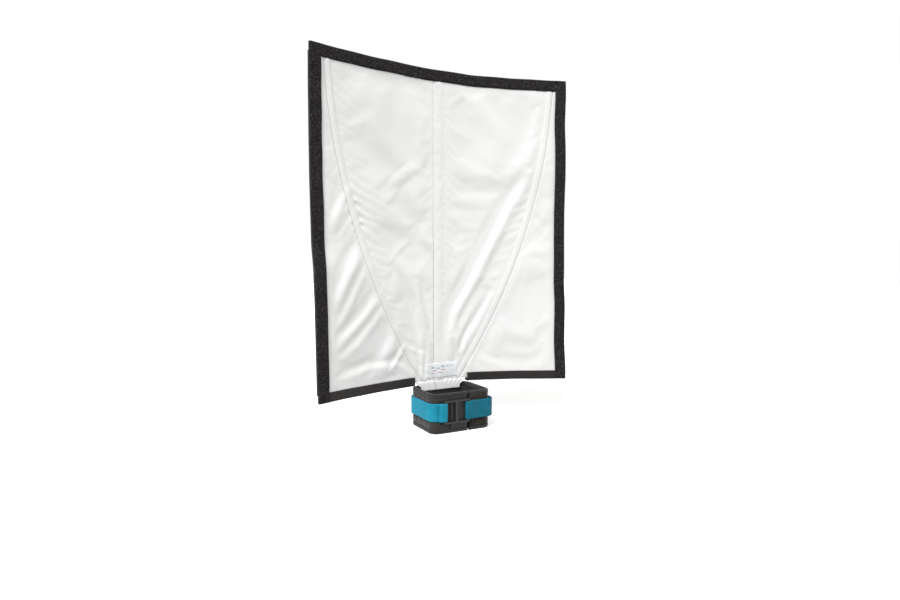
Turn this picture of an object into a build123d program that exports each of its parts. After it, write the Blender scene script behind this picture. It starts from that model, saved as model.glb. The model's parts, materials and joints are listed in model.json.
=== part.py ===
"""Fabric snoot for a camera flash, laid open as a bounce reflector.

A soft rectangular panel, stiffened by three bendable rods and edged with hook and loop tape,
stands on a padded collar that a buckled strap tightens round the flash head.
Millimetres, +Z up, -Y to the white front. The origin is the centre of the collar's lower mouth,
where the flash head comes in.
"""
from build123d import *
from math import cos, radians, sin
import os

# ---- collar ---------------------------------------------------------------------------------
HEAD_WIDTH = 75.0           # room for a full-size flash head, inside the lining
HEAD_DEPTH = 56.0
COLLAR_HEIGHT = 50.4
COLLAR_CORNER = 7.0         # inside corner radius
LINING = 1.0
CORE = 1.8
BAND = 1.0
PLY_GAP = 0.1
BINDING = 0.6
BINDING_DEPTH = 5.0
FRONT_GAP = (6.0, 10.7)     # the collar is open here, from end to end of its height

# ---- strap and buckle -----------------------------------------------------------------------
STRAP_WIDTH = 22.5
STRAP_THICKNESS = 1.4
STRAP_MIDDLE_Z = 26.7
STRAP_CLEARANCE = 0.15
BUCKLE_WIDTH = 37.0
BUCKLE_HEIGHT = 29.5
BUCKLE_THICKNESS = 2.4
BUCKLE_CENTRE_X = -10.0
BUCKLE_BAR = 4.0
BAR_CLEARANCE = 0.6         # between a side bar and the strap that turns round it
TAIL_HINGE_X = 8.6
TAIL_HINGE_GAP = 1.0
TAIL_STAND_OFF = 1.9        # how far the loose tail stands off the strap under it
TAIL_END_Y = -8.0

# ---- panel ----------------------------------------------------------------------------------
PANEL_WIDTH = 356.0
PANEL_TOP = 456.0
WING_BOTTOM = 50.9
NECK_BOTTOM = 56.3          # the panel's lowest edge between the bottom tapes
NECK_HALF = 44.0            # half of the width left open between the bottom tapes
STRIPS = 5                  # the panel folds on four upright lines into a five-sided tube
STRIP = PANEL_WIDTH / STRIPS
FOLD_INNER = STRIP / 2
FOLD_OUTER = FOLD_INNER + STRIP
REST_FOLD = 13.0            # how far each wing stands forward as stored
SHEET = 0.8
ROD_ROOM = 2.4              # between the front and back sheets
FOLD_GAP = 1.8              # half of the gap that the sheets leave at a fold
TAPE_FOLD_GAP = 2.6
PANEL_HALF = ROD_ROOM / 2 + SHEET
TILT_Z = 54.0

SIDE_TAPE = 13.5
TOP_TAPE = 13.5
BOTTOM_TAPE = 10.5
TAPE = 1.0
TAPE_SETBACK = 0.05         # so that faces that are sewn together don't share a plane

# ---- rods -----------------------------------------------------------------------------------
ROD = 2.0
ROD_BOTTOM = 57.5
ROD_TOP = 440.0
CAP_WIDTH = 6.0
CAP_LENGTH = 9.0
SIDE_ROD_LOW = (FOLD_INNER + FOLD_GAP, 77.0)    # the side rods start their bow here,
SIDE_ROD_MIDDLE = (122.5, 262.0)                # pass through here
SIDE_ROD_HIGH = (157.0, ROD_TOP)                # and end here
FOOT_BOTTOM = 12.0
FOOT_TOP = 49.0
FOOT_SPREAD = 24.0

wall = LINING + CORE + BAND + 2 * PLY_GAP
collar_half_x = HEAD_WIDTH / 2 + wall
collar_half_y = HEAD_DEPTH / 2 + wall
panel_y = HEAD_DEPTH / 2 + wall / 2         # the panel rises out of the collar's back wall
tab_thickness = 0.8


def ring(inner_offset, outer_offset, bottom, top):
    """A closed wall round the head space, between two offsets from the lining's inner face."""
    inner, outer = (RectangleRounded(HEAD_WIDTH + 2 * offset_by, HEAD_DEPTH + 2 * offset_by,
                                     COLLAR_CORNER + offset_by)
                    for offset_by in (inner_offset, outer_offset))
    return Pos(0, 0, bottom) * extrude(outer - inner, top - bottom)


def open_front(shape):
    """Cuts the upright gap where the collar's two ends face each other."""
    width = FRONT_GAP[1] - FRONT_GAP[0]
    middle = (FRONT_GAP[0] + FRONT_GAP[1]) / 2
    return shape - Pos(middle, -collar_half_y, COLLAR_HEIGHT / 2) * Box(width, 20, 2 * COLLAR_HEIGHT)


def block(x_range, y_range, z_range):
    """A box given by its lowest and highest value on each axis."""
    spans = [high - low for low, high in (x_range, y_range, z_range)]
    centre = [(low + high) / 2 for low, high in (x_range, y_range, z_range)]
    return Pos(*centre) * Box(*spans)


def ribbon(points, radii, thickness, height, middle_z):
    """A flat strap on edge, along a route of straight runs and tangent arcs."""
    route = FilletPolyline(*[(x, y, middle_z) for x, y in points], radius=radii)
    start = Plane(route @ 0, x_dir=(0, 0, 1), z_dir=route % 0)
    return sweep(start * Rectangle(height, thickness), path=route)


# ---- collar pieces --------------------------------------------------------------------------
def collar_lining():
    low = BINDING
    return open_front(ring(0, LINING, low, COLLAR_HEIGHT - low))


def collar_core():
    start = LINING + PLY_GAP
    core = open_front(ring(start, start + CORE, BINDING, COLLAR_HEIGHT - BINDING))
    for x in (-FOOT_SPREAD, 0, FOOT_SPREAD):
        pocket_x = (x - ROD, x + ROD)
        core -= block(pocket_x, (panel_y - CORE, panel_y + CORE), (FOOT_BOTTOM - 2, COLLAR_HEIGHT))
    return core


def collar_band():
    start = LINING + CORE + 2 * PLY_GAP
    return open_front(ring(start, start + BAND, BINDING, COLLAR_HEIGHT - BINDING))


def binding(rim_z, into_collar):
    """A tape folded over one rim: outer leg, inner leg and the fold between them."""
    low, high = sorted((rim_z, rim_z + into_collar * BINDING_DEPTH))
    whole = ring(-BINDING, wall + BINDING, low, high)
    rim = rim_z + into_collar * BINDING
    low, high = sorted((rim, rim_z + 2 * into_collar * BINDING_DEPTH))
    return open_front(whole - ring(-PLY_GAP / 2, wall + PLY_GAP / 2, low, high))


def neck_tab():
    """The back cloth's tail, sewn down the outside of the collar's back."""
    half_low = HEAD_WIDTH / 2 - COLLAR_CORNER - 1
    y_face = collar_half_y + BINDING + PLY_GAP
    return block((-half_low, half_low), (y_face, y_face + tab_thickness), (6, TILT_Z - 1.8))


def neck_facing():
    """The front cloth's tail, sewn down inside the collar's back."""
    y_face = HEAD_DEPTH / 2 - BINDING - PLY_GAP
    return block((-29, 29), (y_face - tab_thickness, y_face), (38, TILT_Z - 1.8))


def rod_feet():
    feet = [Pos(x, panel_y, FOOT_BOTTOM) * extrude(Circle(ROD / 2 - 0.15), FOOT_TOP - FOOT_BOTTOM)
            for x in (-FOOT_SPREAD, 0, FOOT_SPREAD)]
    return Compound(children=feet)


# ---- strap pieces ---------------------------------------------------------------------------
strap_x = collar_half_x + BINDING + STRAP_CLEARANCE + STRAP_THICKNESS / 2
strap_front_y = -(collar_half_y + STRAP_CLEARANCE + STRAP_THICKNESS / 2)
strap_back_y = collar_half_y + BINDING + 2 * PLY_GAP + tab_thickness + STRAP_THICKNESS / 2
strap_corner = COLLAR_CORNER + wall + STRAP_CLEARANCE + STRAP_THICKNESS / 2
buckle_back_y = strap_front_y - STRAP_THICKNESS / 2 - 0.25
buckle_front_y = buckle_back_y - BUCKLE_THICKNESS
loop_y = buckle_front_y - 0.1 - STRAP_THICKNESS / 2
loop_radius = (strap_front_y - loop_y) / 2 - 0.15
buckle_left = BUCKLE_CENTRE_X - BUCKLE_WIDTH / 2
buckle_right = BUCKLE_CENTRE_X + BUCKLE_WIDTH / 2
left_turn_x = buckle_left + BUCKLE_BAR + BAR_CLEARANCE + STRAP_THICKNESS / 2
right_turn_x = buckle_right - BUCKLE_BAR - BAR_CLEARANCE - STRAP_THICKNESS / 2


def strap_left():
    """Sewn at the back, round the left side, through the buckle and stitched back on itself."""
    points = [(-0.6, strap_back_y), (-strap_x, strap_back_y), (-strap_x, strap_front_y),
              (left_turn_x, strap_front_y), (left_turn_x, loop_y),
              (buckle_left - 1.2, loop_y), (buckle_left - 5.5, loop_y + 2.0)]
    radii = [strap_corner, strap_corner, loop_radius, loop_radius, 2.0]
    return ribbon(points, radii, STRAP_THICKNESS, STRAP_WIDTH, STRAP_MIDDLE_Z)


def strap_right():
    """Sewn at the back, round the right side and up through the buckle's other slot."""
    points = [(0.6, strap_back_y), (strap_x, strap_back_y), (strap_x, strap_front_y),
              (right_turn_x, strap_front_y), (right_turn_x, loop_y),
              (TAIL_HINGE_X - TAIL_HINGE_GAP, loop_y)]
    radii = [strap_corner, strap_corner, loop_radius, loop_radius]
    return ribbon(points, radii, STRAP_THICKNESS, STRAP_WIDTH, STRAP_MIDDLE_Z)


tail_y = strap_front_y - STRAP_THICKNESS / 2 - TAIL_STAND_OFF
tail_x = strap_x + STRAP_THICKNESS / 2 + TAIL_STAND_OFF


def strap_tail():
    """The free end of the right strap, folded back over it and pressed down."""
    points = [(TAIL_HINGE_X + TAIL_HINGE_GAP, loop_y), (TAIL_HINGE_X + 5, loop_y),
              (TAIL_HINGE_X + 10, tail_y), (tail_x, tail_y), (tail_x, TAIL_END_Y)]
    return ribbon(points, [3.0, 6.0, strap_corner], STRAP_THICKNESS, STRAP_WIDTH, STRAP_MIDDLE_Z)


def tail_hook_pad():
    """Hook tape under the tail, facing the strap."""
    face = tail_y + STRAP_THICKNESS / 2
    height = (STRAP_MIDDLE_Z - STRAP_WIDTH / 2 + 1, STRAP_MIDDLE_Z + STRAP_WIDTH / 2 - 1)
    return block((20, 32), (face, face + TAIL_STAND_OFF - STRAP_THICKNESS / 2 - 0.3), height)


def tail_grip_tab():
    """The thicker end of the tail, to pull it by."""
    half = STRAP_WIDTH / 2
    tab = block((tail_x - 1.4, tail_x + 1.4), (TAIL_END_Y + 0.1, TAIL_END_Y + 12),
                (STRAP_MIDDLE_Z - half, STRAP_MIDDLE_Z + half))
    return fillet(tab.edges().filter_by(Axis.X).group_by(Axis.Y)[-1], 3)


def strap_anchor_patch():
    face = strap_back_y + STRAP_THICKNESS / 2 + PLY_GAP
    half = STRAP_WIDTH / 2 + 2
    patch = block((-14, 14), (face, face + 1.0), (STRAP_MIDDLE_Z - half, STRAP_MIDDLE_Z + half))
    return fillet(patch.edges().filter_by(Axis.Y), 2)


def buckle():
    """A double-slot slide: the straps turn round its two side bars."""
    slot_height = STRAP_WIDTH + 1.0
    slot_width = (BUCKLE_WIDTH - 3 * BUCKLE_BAR) / 2
    face = RectangleRounded(BUCKLE_WIDTH, BUCKLE_HEIGHT, 3)
    slot = RectangleRounded(slot_width, slot_height, 1)
    for side in (-1, 1):
        face -= Pos(side * (slot_width + BUCKLE_BAR) / 2, 0) * slot
    plate = extrude(face, BUCKLE_THICKNESS)
    rims = plate.edges().filter_by(GeomType.LINE).filter_by(Axis.Z, reverse=True)
    plate = fillet([e for e in rims if e.length > BUCKLE_BAR + 1], 0.6)
    stand = Plane((BUCKLE_CENTRE_X, buckle_back_y, STRAP_MIDDLE_Z), x_dir=(1, 0, 0), z_dir=(0, -1, 0))
    return stand * plate


# ---- panel pieces, cut flat and then folded ---------------------------------------------------
def folded(shape, side):
    """Turns a flat piece about its inner fold line by the rest angle; side is -1, 0 or 1."""
    line = Pos(side * FOLD_INNER, panel_y)
    return line * Rot(0, 0, -side * REST_FOLD) * line.inverse() * shape if side else shape


def strip_range(side, place, gap):
    """The flat strip's width range: place is 'centre', 'inner' or 'outer'."""
    if place == "centre":
        return -FOLD_INNER + gap, FOLD_INNER - gap
    low, high = FOLD_INNER + gap, FOLD_OUTER - gap
    if place == "outer":
        low, high = FOLD_OUTER + gap, PANEL_WIDTH / 2
    return sorted((side * low, side * high))


def sheet(side, place, front):
    """One strip of the front or back cloth."""
    x_range = strip_range(side, place, FOLD_GAP)
    near = panel_y - PANEL_HALF if front else panel_y + PANEL_HALF - SHEET
    y_range = (near, near + SHEET)
    bottom = NECK_BOTTOM if place == "centre" else WING_BOTTOM
    cloth = block(x_range, y_range, (bottom, PANEL_TOP))
    if place == "inner":
        notch_x = sorted((0, side * NECK_HALF))
        cloth -= block(notch_x, (near - 1, near + SHEET + 1), (WING_BOTTOM - 1, NECK_BOTTOM))
    return folded(cloth, side)


def front_tape(side, x_range, z_range):
    """Tape sewn on the front cloth."""
    face = panel_y - PANEL_HALF - TAPE_SETBACK
    return folded(block(sorted(x_range), (face - TAPE, face), z_range), side)


def top_tape(side, place):
    low, high = strip_range(side, place, TAPE_FOLD_GAP)
    limit = PANEL_WIDTH / 2 - SIDE_TAPE - 0.1
    return front_tape(side, (max(low, -limit), min(high, limit)), (PANEL_TOP - TOP_TAPE, PANEL_TOP))


def bottom_tape(side, place):
    inner_end = NECK_HALF if place == "inner" else FOLD_OUTER + TAPE_FOLD_GAP
    outer_end = FOLD_OUTER - TAPE_FOLD_GAP if place == "inner" else PANEL_WIDTH / 2 - SIDE_TAPE - 0.1
    z_range = (WING_BOTTOM, WING_BOTTOM + BOTTOM_TAPE)
    return front_tape(side, (side * inner_end, side * outer_end), z_range)


def side_tape(side):
    edge = PANEL_WIDTH / 2
    return front_tape(side, (side * (edge - SIDE_TAPE), side * edge), (WING_BOTTOM, PANEL_TOP))


def closure_hook_tape():
    """Hook tape on the back of the left edge, which closes the rolled tube."""
    face = panel_y + PANEL_HALF + TAPE_SETBACK
    edge = PANEL_WIDTH / 2
    strip = block((-edge, -edge + SIDE_TAPE), (face, face + TAPE), (WING_BOTTOM + 8, PANEL_TOP - 8))
    return folded(strip, -1)


def centre_rod():
    return Pos(0, panel_y, ROD_BOTTOM) * extrude(Circle(ROD / 2), ROD_TOP - ROD_BOTTOM)


def side_rod_arc(side):
    """The side rod's centre line beyond the inner fold line: one long arc out to the top."""
    points = [(side * x, panel_y, z) for x, z in (SIDE_ROD_LOW, SIDE_ROD_MIDDLE, SIDE_ROD_HIGH)]
    return ThreePointArc(*points)


def share_at(arc, x):
    """The share of the arc's length at which it is x away from the panel's middle."""
    low, high = 0.0, 1.0
    for _ in range(40):
        middle = (low + high) / 2
        low, high = (middle, high) if abs((arc @ middle).X) < x else (low, middle)
    return low


def side_rod_foot(side):
    """The straight piece of a side rod between the neck and the inner fold line."""
    arc = side_rod_arc(side)
    start = arc @ 0
    heading = arc % 0
    top = start - heading * (2 * FOLD_GAP / abs(heading.X))
    bottom = start - heading * ((start.Z - ROD_BOTTOM) / heading.Z)
    return Solid.make_cylinder(ROD / 2, (top - bottom).length, Plane(bottom, z_dir=heading))


def side_rod(side, place):
    """The piece of a side rod that lies in the inner or outer strip."""
    arc = side_rod_arc(side)
    ends = {"inner": (0, share_at(arc, FOLD_OUTER - FOLD_GAP)),
            "outer": (share_at(arc, FOLD_OUTER + FOLD_GAP), 1)}
    route = arc.trim(*ends[place])
    section = Plane(route @ 0, z_dir=route % 0) * Circle(ROD / 2)
    return folded(sweep(section, path=route), side)


def rod_cap(side):
    """A flat moulded tip that keeps the rod's end from wearing through the cloth."""
    x = 0 if side == 0 else side * SIDE_ROD_HIGH[0]
    cap = block((x - CAP_WIDTH / 2, x + CAP_WIDTH / 2), (panel_y - 1.1, panel_y + 1.1),
                (ROD_TOP + 0.1, ROD_TOP + CAP_LENGTH))
    cap = fillet(cap.edges().filter_by(Axis.Y).group_by(Axis.Z)[-1], 2.5)
    return folded(cap, side)


def care_label():
    face = panel_y - PANEL_HALF - TAPE_SETBACK
    return block((-22, 25), (face - 0.4, face), (58, 77))


def strip_pieces(side, place):
    """Every sewn piece of one strip, by name."""
    name = "centre" if place == "centre" else f"{'left' if side < 0 else 'right'}_{place}"
    pieces = {f"{name}_front_cloth": sheet(side, place, True),
              f"{name}_back_cloth": sheet(side, place, False),
              f"{name}_top_tape": top_tape(side, place)}
    if place != "centre":
        pieces[f"{name}_bottom_tape"] = bottom_tape(side, place)
    return pieces


def side_pieces(side):
    """What belongs to one wing beside its cloth strips."""
    name = "left" if side < 0 else "right"
    return {f"{name}_rod_lower": side_rod_foot(side),
            f"{name}_rod_middle": side_rod(side, "inner"),
            f"{name}_rod_upper": side_rod(side, "outer"),
            f"{name}_rod_cap": rod_cap(side),
            f"{name}_side_tape": side_tape(side)}


def all_pieces():
    pieces = {
        "collar_lining": collar_lining(),
        "collar_core": collar_core(),
        "collar_band": collar_band(),
        "collar_bottom_binding": binding(0, 1),
        "collar_top_binding": binding(COLLAR_HEIGHT, -1),
        "neck_tab": neck_tab(),
        "neck_facing": neck_facing(),
        "rod_feet": rod_feet(),
        "strap_left": strap_left(),
        "strap_right": strap_right(),
        "strap_anchor_patch": strap_anchor_patch(),
        "buckle": buckle(),
        "strap_tail": strap_tail(),
        "tail_hook_pad": tail_hook_pad(),
        "tail_grip_tab": tail_grip_tab(),
        "centre_rod": centre_rod(),
        "centre_rod_cap": rod_cap(0),
        "care_label": care_label(),
        "closure_hook_tape": closure_hook_tape(),
    }
    pieces.update(strip_pieces(0, "centre"))
    for side in (-1, 1):
        pieces.update(strip_pieces(side, "inner"))
        pieces.update(strip_pieces(side, "outer"))
        pieces.update(side_pieces(side))
    return pieces


os.makedirs("parts", exist_ok=True)
for node, solid in all_pieces().items():
    export_step(solid, f"parts/{node}.step")

turn = radians(REST_FOLD)
print("outer fold line at", round(FOLD_INNER + STRIP * cos(turn), 3), round(panel_y - STRIP * sin(turn), 3))
print("inner fold line at", FOLD_INNER, panel_y)
print("tail hinge at", TAIL_HINGE_X, round(loop_y, 3))
print("tape face y", round(panel_y - PANEL_HALF - TAPE_SETBACK - TAPE, 3))
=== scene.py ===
"""Looks for the flash snoot: cloth panel, hook and loop edges, padded collar, straps and buckle.

Metres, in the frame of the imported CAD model. The panel's cloth is laid out flat first, with s
across it from its middle and z up it, and then bent onto the panel's standing shape.
"""
import json
import math

import bmesh
import bpy
import numpy as np
from mathutils import Matrix, Vector, noise


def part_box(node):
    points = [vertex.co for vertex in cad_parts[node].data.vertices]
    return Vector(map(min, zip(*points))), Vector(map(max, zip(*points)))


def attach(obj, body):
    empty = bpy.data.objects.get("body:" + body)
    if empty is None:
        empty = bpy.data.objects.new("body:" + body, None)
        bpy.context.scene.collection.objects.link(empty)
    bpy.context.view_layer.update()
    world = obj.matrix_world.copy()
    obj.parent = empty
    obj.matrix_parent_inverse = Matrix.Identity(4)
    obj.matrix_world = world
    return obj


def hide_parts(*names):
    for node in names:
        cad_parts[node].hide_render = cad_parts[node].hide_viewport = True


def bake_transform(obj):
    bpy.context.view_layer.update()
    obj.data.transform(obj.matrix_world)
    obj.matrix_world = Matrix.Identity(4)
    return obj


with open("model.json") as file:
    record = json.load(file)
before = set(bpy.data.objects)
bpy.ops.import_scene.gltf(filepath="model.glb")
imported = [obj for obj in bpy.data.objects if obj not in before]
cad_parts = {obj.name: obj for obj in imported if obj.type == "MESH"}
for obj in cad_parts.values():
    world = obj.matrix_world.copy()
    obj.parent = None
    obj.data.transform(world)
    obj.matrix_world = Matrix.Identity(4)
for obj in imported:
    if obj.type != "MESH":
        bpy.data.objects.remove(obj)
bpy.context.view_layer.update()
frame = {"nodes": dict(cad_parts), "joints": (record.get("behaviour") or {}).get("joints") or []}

MM = 0.001


# ---- sizes read from the frame ------------------------------------------------------------------
def low(node):
    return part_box(node)[0]


def high(node):
    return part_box(node)[1]


JOINT = {j["name"]: j for j in frame["joints"]}
PANEL_Y = JOINT["left_inner_fold"]["pos_m"][1]
FOLD_INNER = JOINT["right_inner_fold"]["pos_m"][0]
STRIP = 2 * FOLD_INNER
SPLIT = FOLD_INNER + STRIP / 2           # the cloth's pieces meet midway between two fold lines
HALF = FOLD_INNER + 2 * STRIP            # half of the panel's cut width
TOP = high("centre_front_cloth").z
BOTTOM = low("left_side_tape").z
NECK_Z = low("centre_front_cloth").z
NECK_HALF = 0.039                        # the bottom tapes leave the neck open between them
TAPE_WIDTH = TOP - low("centre_top_tape").z
HEM_WIDTH = high("left_inner_bottom_tape").z - BOTTOM
COLLAR_TOP = high("collar_top_binding").z
COLLAR_X = high("collar_band").x
COLLAR_Y = high("collar_band").y
COLLAR_CORNER = 0.011
STRAP_Z = (low("strap_left").z, high("strap_left").z)
GAP_LEFT = 0.006                         # the collar's front opening, from this x
GAP_RIGHT = 0.0107                       # to this x
WING = {-1: math.radians(11.8), 1: math.radians(14.6)}   # how far each wing stands forward
LEAN = {-1: math.radians(1.9), 1: math.radians(0.7)}     # how far each wing's top leans back
CURVE = (0.010, 0.0612)                  # the wings curve forward between these, from the middle
BLEND_REACH = 0.014                      # half of the cloth's bend at a fold line
HALF_THICK = 0.002                       # from the panel's middle to either cloth


# ---- the panel's standing shape -----------------------------------------------------------------
CURVE_STEPS = np.linspace(0, HALF + 0.01, 1500)


def wing_curve(angle):
    """The panel's cross-section on one side: how far out and how far forward, at each s."""
    share = np.clip((CURVE_STEPS - CURVE[0]) / (CURVE[1] - CURVE[0]), 0, 1)
    heading = angle * share * share * (3 - 2 * share)
    middle = (heading[1:] + heading[:-1]) / 2
    step = np.diff(CURVE_STEPS)
    out = np.concatenate([[0], np.cumsum(np.cos(middle) * step)])
    forward = np.concatenate([[0], np.cumsum(np.sin(middle) * step)])
    return out, forward, heading


WING_CURVE = {side: wing_curve(angle) for side, angle in WING.items()}


# the wings' free edges aren't quite straight: how far forward they stand, at heights up the panel
EDGE_Z = (0.050, 0.150, 0.195, 0.235, 0.300, 0.340, 0.400, 0.456)
EDGE_FORWARD = {-1: (0.0150, 0.0140, 0.0120, 0.0050, 0.0030, 0.0035, 0.0055, 0.0085),
                1: (0.0100, 0.0085, 0.0075, 0.0070, 0.0080, 0.0100, 0.0090, 0.0095)}
DROOP = {-1: (0.0006, 0.0008), 1: (0.0003, 0.0022)}      # how much the hem hangs, at the neck and the corner
NARROWED = {-1: -0.0022, 1: 0.0018}                       # what the folds take out of each wing's width


def soft_curve(x, xs, ys):
    """A smooth curve through points, with level ends."""
    k = np.clip(np.searchsorted(xs, x, side="right") - 1, 0, len(xs) - 2)
    xs, ys = np.array(xs), np.array(ys)
    t = np.clip((x - xs[k]) / (xs[k + 1] - xs[k]), 0, 1)
    return ys[k] + (ys[k + 1] - ys[k]) * t * t * (3 - 2 * t)


def stand(s, z, lift):
    """Points of the standing panel: s across, z up and lift towards its front, all arrays."""
    reach = np.abs(s)
    points = np.zeros((len(s), 3))
    outer = np.clip((reach - 0.03) / (HALF - 0.03), 0, 1)
    for side in (-1, 1):
        here = (s < 0) == (side < 0)
        out, forward, heading = WING_CURVE[side]
        a = np.interp(reach, CURVE_STEPS, heading)
        x = side * np.interp(reach, CURVE_STEPS, out) - side * lift * np.sin(a)
        x = x - side * NARROWED[side] * outer
        lean = (z - BOTTOM) * math.tan(LEAN[side]) * outer
        edge = soft_curve(z, EDGE_Z, EDGE_FORWARD[side]) * outer ** 2.2
        y = PANEL_Y - np.interp(reach, CURVE_STEPS, forward) + lean - edge - lift * np.cos(a)
        low_share = np.clip(1 - (z - BOTTOM) / 0.13, 0, 1) ** 1.5 * np.clip((reach - 0.030) / 0.008, 0, 1)
        hang = (DROOP[side][0] + (DROOP[side][1] - DROOP[side][0]) * outer ** 2) * low_share
        points[here] = np.stack([x, y, z - hang], axis=1)[here]
    return points


# ---- rod channels ---------------------------------------------------------------------------------
def circle_through(a, b, c):
    """Centre and radius of the circle through three points of the flat panel."""
    m = np.array([[b[0] - a[0], b[1] - a[1]], [c[0] - a[0], c[1] - a[1]]])
    a_square, b_square, c_square = (p[0] ** 2 + p[1] ** 2 for p in (a, b, c))
    k = np.array([b_square - a_square, c_square - a_square])
    centre = np.linalg.solve(2 * m, k)
    return centre, float(np.hypot(*(centre - np.array(a))))


ROD_LOW = (0.0374, 0.077)
ROD_CENTRE, ROD_RADIUS = circle_through(ROD_LOW, (0.1225, 0.262), (0.156, 0.440))
ROD_HEADING = np.array([-(ROD_LOW[1] - ROD_CENTRE[1]), ROD_LOW[0] - ROD_CENTRE[0]])
ROD_HEADING = ROD_HEADING / np.hypot(*ROD_HEADING) * np.sign(ROD_HEADING[1])
SIDE_CHANNEL = 0.0048                   # half widths of the sewn channels
CENTRE_CHANNEL = 0.0085
CENTRE_CHANNEL_S = -0.0012


def rod_offset(s, z):
    """Signed distance from a side rod's line (outwards is positive) and the way along it."""
    reach = np.abs(s)
    dx, dz = reach - ROD_CENTRE[0], z - ROD_CENTRE[1]
    offset = np.hypot(dx, dz) - ROD_RADIUS
    start = math.atan2(ROD_LOW[1] - ROD_CENTRE[1], ROD_LOW[0] - ROD_CENTRE[0])
    along = (np.arctan2(dz, dx) - start) * ROD_RADIUS
    straight = np.stack([reach - ROD_LOW[0], z - ROD_LOW[1]], axis=-1)
    side_way = np.array([ROD_HEADING[1], -ROD_HEADING[0]])
    below = z < ROD_LOW[1]
    return (np.where(below, straight @ side_way, offset),
            np.where(below, straight @ ROD_HEADING, along))


# ---- folds and puckers of the front cloth ---------------------------------------------------------
def near_line(s, z, points):
    """Signed distance to a polyline (right of its run is positive) and the share of the way along."""
    best = np.full(len(s), 1e9)
    signed = np.zeros(len(s))
    share = np.zeros(len(s))
    line = np.array(points, float) * MM
    lengths = np.hypot(*np.diff(line, axis=0).T)
    total, gone = lengths.sum(), 0.0
    for (a, b, run) in zip(line[:-1], line[1:], lengths):
        way = (b - a) / run
        t = np.clip((s - a[0]) * way[0] + (z - a[1]) * way[1], 0, run)
        px, pz = s - (a[0] + way[0] * t), z - (a[1] + way[1] * t)
        d = np.hypot(px, pz)
        side = np.sign(px * way[1] - pz * way[0])
        closer = d < best
        best = np.where(closer, d, best)
        signed = np.where(closer, d * side, signed)
        share = np.where(closer, (gone + t) / total, share)
        gone += run
    return signed, share


FOLD_HEIGHT = 1.45                      # how much higher every fold stands than its own figure says


def crease(s, z, points, width, height, skew):
    """A fold whose lit side stands up left of its line and whose shaded side falls away right."""
    d, share = near_line(s, z, points)
    x = d / (width * MM)
    taper = np.sin(np.pi * np.clip(share * 0.96 + 0.02, 0, 1)) ** 0.7
    wave = -x * np.exp(-x * x / 2) * 1.65
    hump = np.exp(-x * x / 3)
    return FOLD_HEIGHT * height * MM * taper * (skew * wave + (1 - skew) * hump)


# each fold: the points its line runs through, top first (s, z in mm), its width and height in mm,
# and how much of it is a fall from lit to shaded rather than a plain ridge
FOLDS = [
    ([(-132, 305), (-141, 284), (-160, 246)], 5.5, 1.1, 1.0),
    ([(-117, 236), (-130, 212), (-149, 176), (-158, 150)], 7.0, 1.8, 1.0),
    ([(-106, 212), (-122, 188), (-142, 152), (-158, 128)], 5.0, 0.8, 1.0),
    ([(-90, 176), (-112, 150), (-157, 112)], 6.0, 1.4, 1.0),
    ([(-84, 158), (-104, 136), (-130, 112), (-150, 98)], 5.5, 0.9, 1.0),
    ([(-66, 142), (-80, 110), (-98, 80)], 7.5, 1.2, 1.0),
    ([(-53, 108), (-63, 95), (-75, 80)], 2.8, 1.4, 1.0),
    ([(-50, 104), (-38, 99), (-26, 92)], 2.8, -1.3, 0.8),
    ([(-155, 76), (-110, 84), (-62, 84), (-40, 70)], 5.0, -0.9, 0.9),
    ([(-148, 64), (-100, 68), (-60, 69), (-44, 62)], 3.0, 0.5, 0.6),
    ([(-112, 276), (-84, 262), (-46, 243)], 12.0, 0.35, 1.0),
    ([(-60, 300), (-40, 276), (-12, 262)], 12.0, 0.35, 1.0),
    ([(-33, 260), (-28, 238), (-12, 218)], 6.0, 1.2, 0.9),
    ([(-70, 214), (-54, 190), (-40, 160), (-30, 128), (-22, 92)], 7.0, 1.3, 1.0),
    ([(-30, 190), (-28, 160), (-20, 132), (-13, 100)], 4.5, -1.0, 0.8),
    ([(-40, 150), (-33, 118), (-25, 86)], 4.0, 0.9, 0.9),
    ([(126, 330), (110, 305), (98, 288), (79, 254), (58, 213), (37, 173), (18, 143), (9, 107), (6, 78)],
     7.5, 3.0, 1.0),
    ([(60, 178), (48, 160), (33, 132), (20, 100)], 6.0, 1.2, 0.6),
    ([(80, 176), (66, 150), (50, 124), (38, 104), (29, 86)], 5.0, 1.5, 1.0),
    ([(48, 132), (36, 108), (26, 80)], 3.0, 0.8, 0.9),
    ([(28, 250), (20, 205), (14, 170)], 7.0, 0.8, 0.6),
    ([(140, 420), (118, 350), (100, 322)], 12.0, 0.8, 0.8),
    ([(40, 430), (64, 380), (76, 330)], 14.0, 0.7, 0.8),
    ([(-120, 420), (-96, 360), (-70, 320)], 14.0, 0.8, 0.8),
    ([(-60, 430), (-44, 380), (-30, 330)], 10.0, 0.6, 0.8),
    ([(54, 86), (80, 74), (120, 70), (150, 74)], 6.0, -0.35, 0.8),
    ([(70, 98), (96, 108), (140, 100)], 10.0, 0.3, 0.8),
    ([(-20, 112), (-19, 84), (-21, 58)], 3.0, 1.2, 0.8),
    ([(-32, 104), (-29, 78), (-31, 57)], 3.0, 1.3, 0.9),
    ([(-48, 84), (-39, 70), (-37, 55)], 2.6, 1.1, 0.9),
    ([(34, 104), (32, 80), (35, 57)], 3.0, 1.3, 0.9),
    ([(48, 88), (41, 72), (42, 58)], 2.6, 1.1, 0.9),
    ([(20, 112), (25, 86), (27, 62)], 3.0, 1.3, 0.9),
]


def ripple(s, z, scale, seed):
    """Soft noise from -1 to 1 over the flat cloth."""
    return np.array([noise.noise(Vector((a / scale, b / scale, seed))) for a, b in zip(s, z)])


PUCKER_SLANT = 0.9


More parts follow.
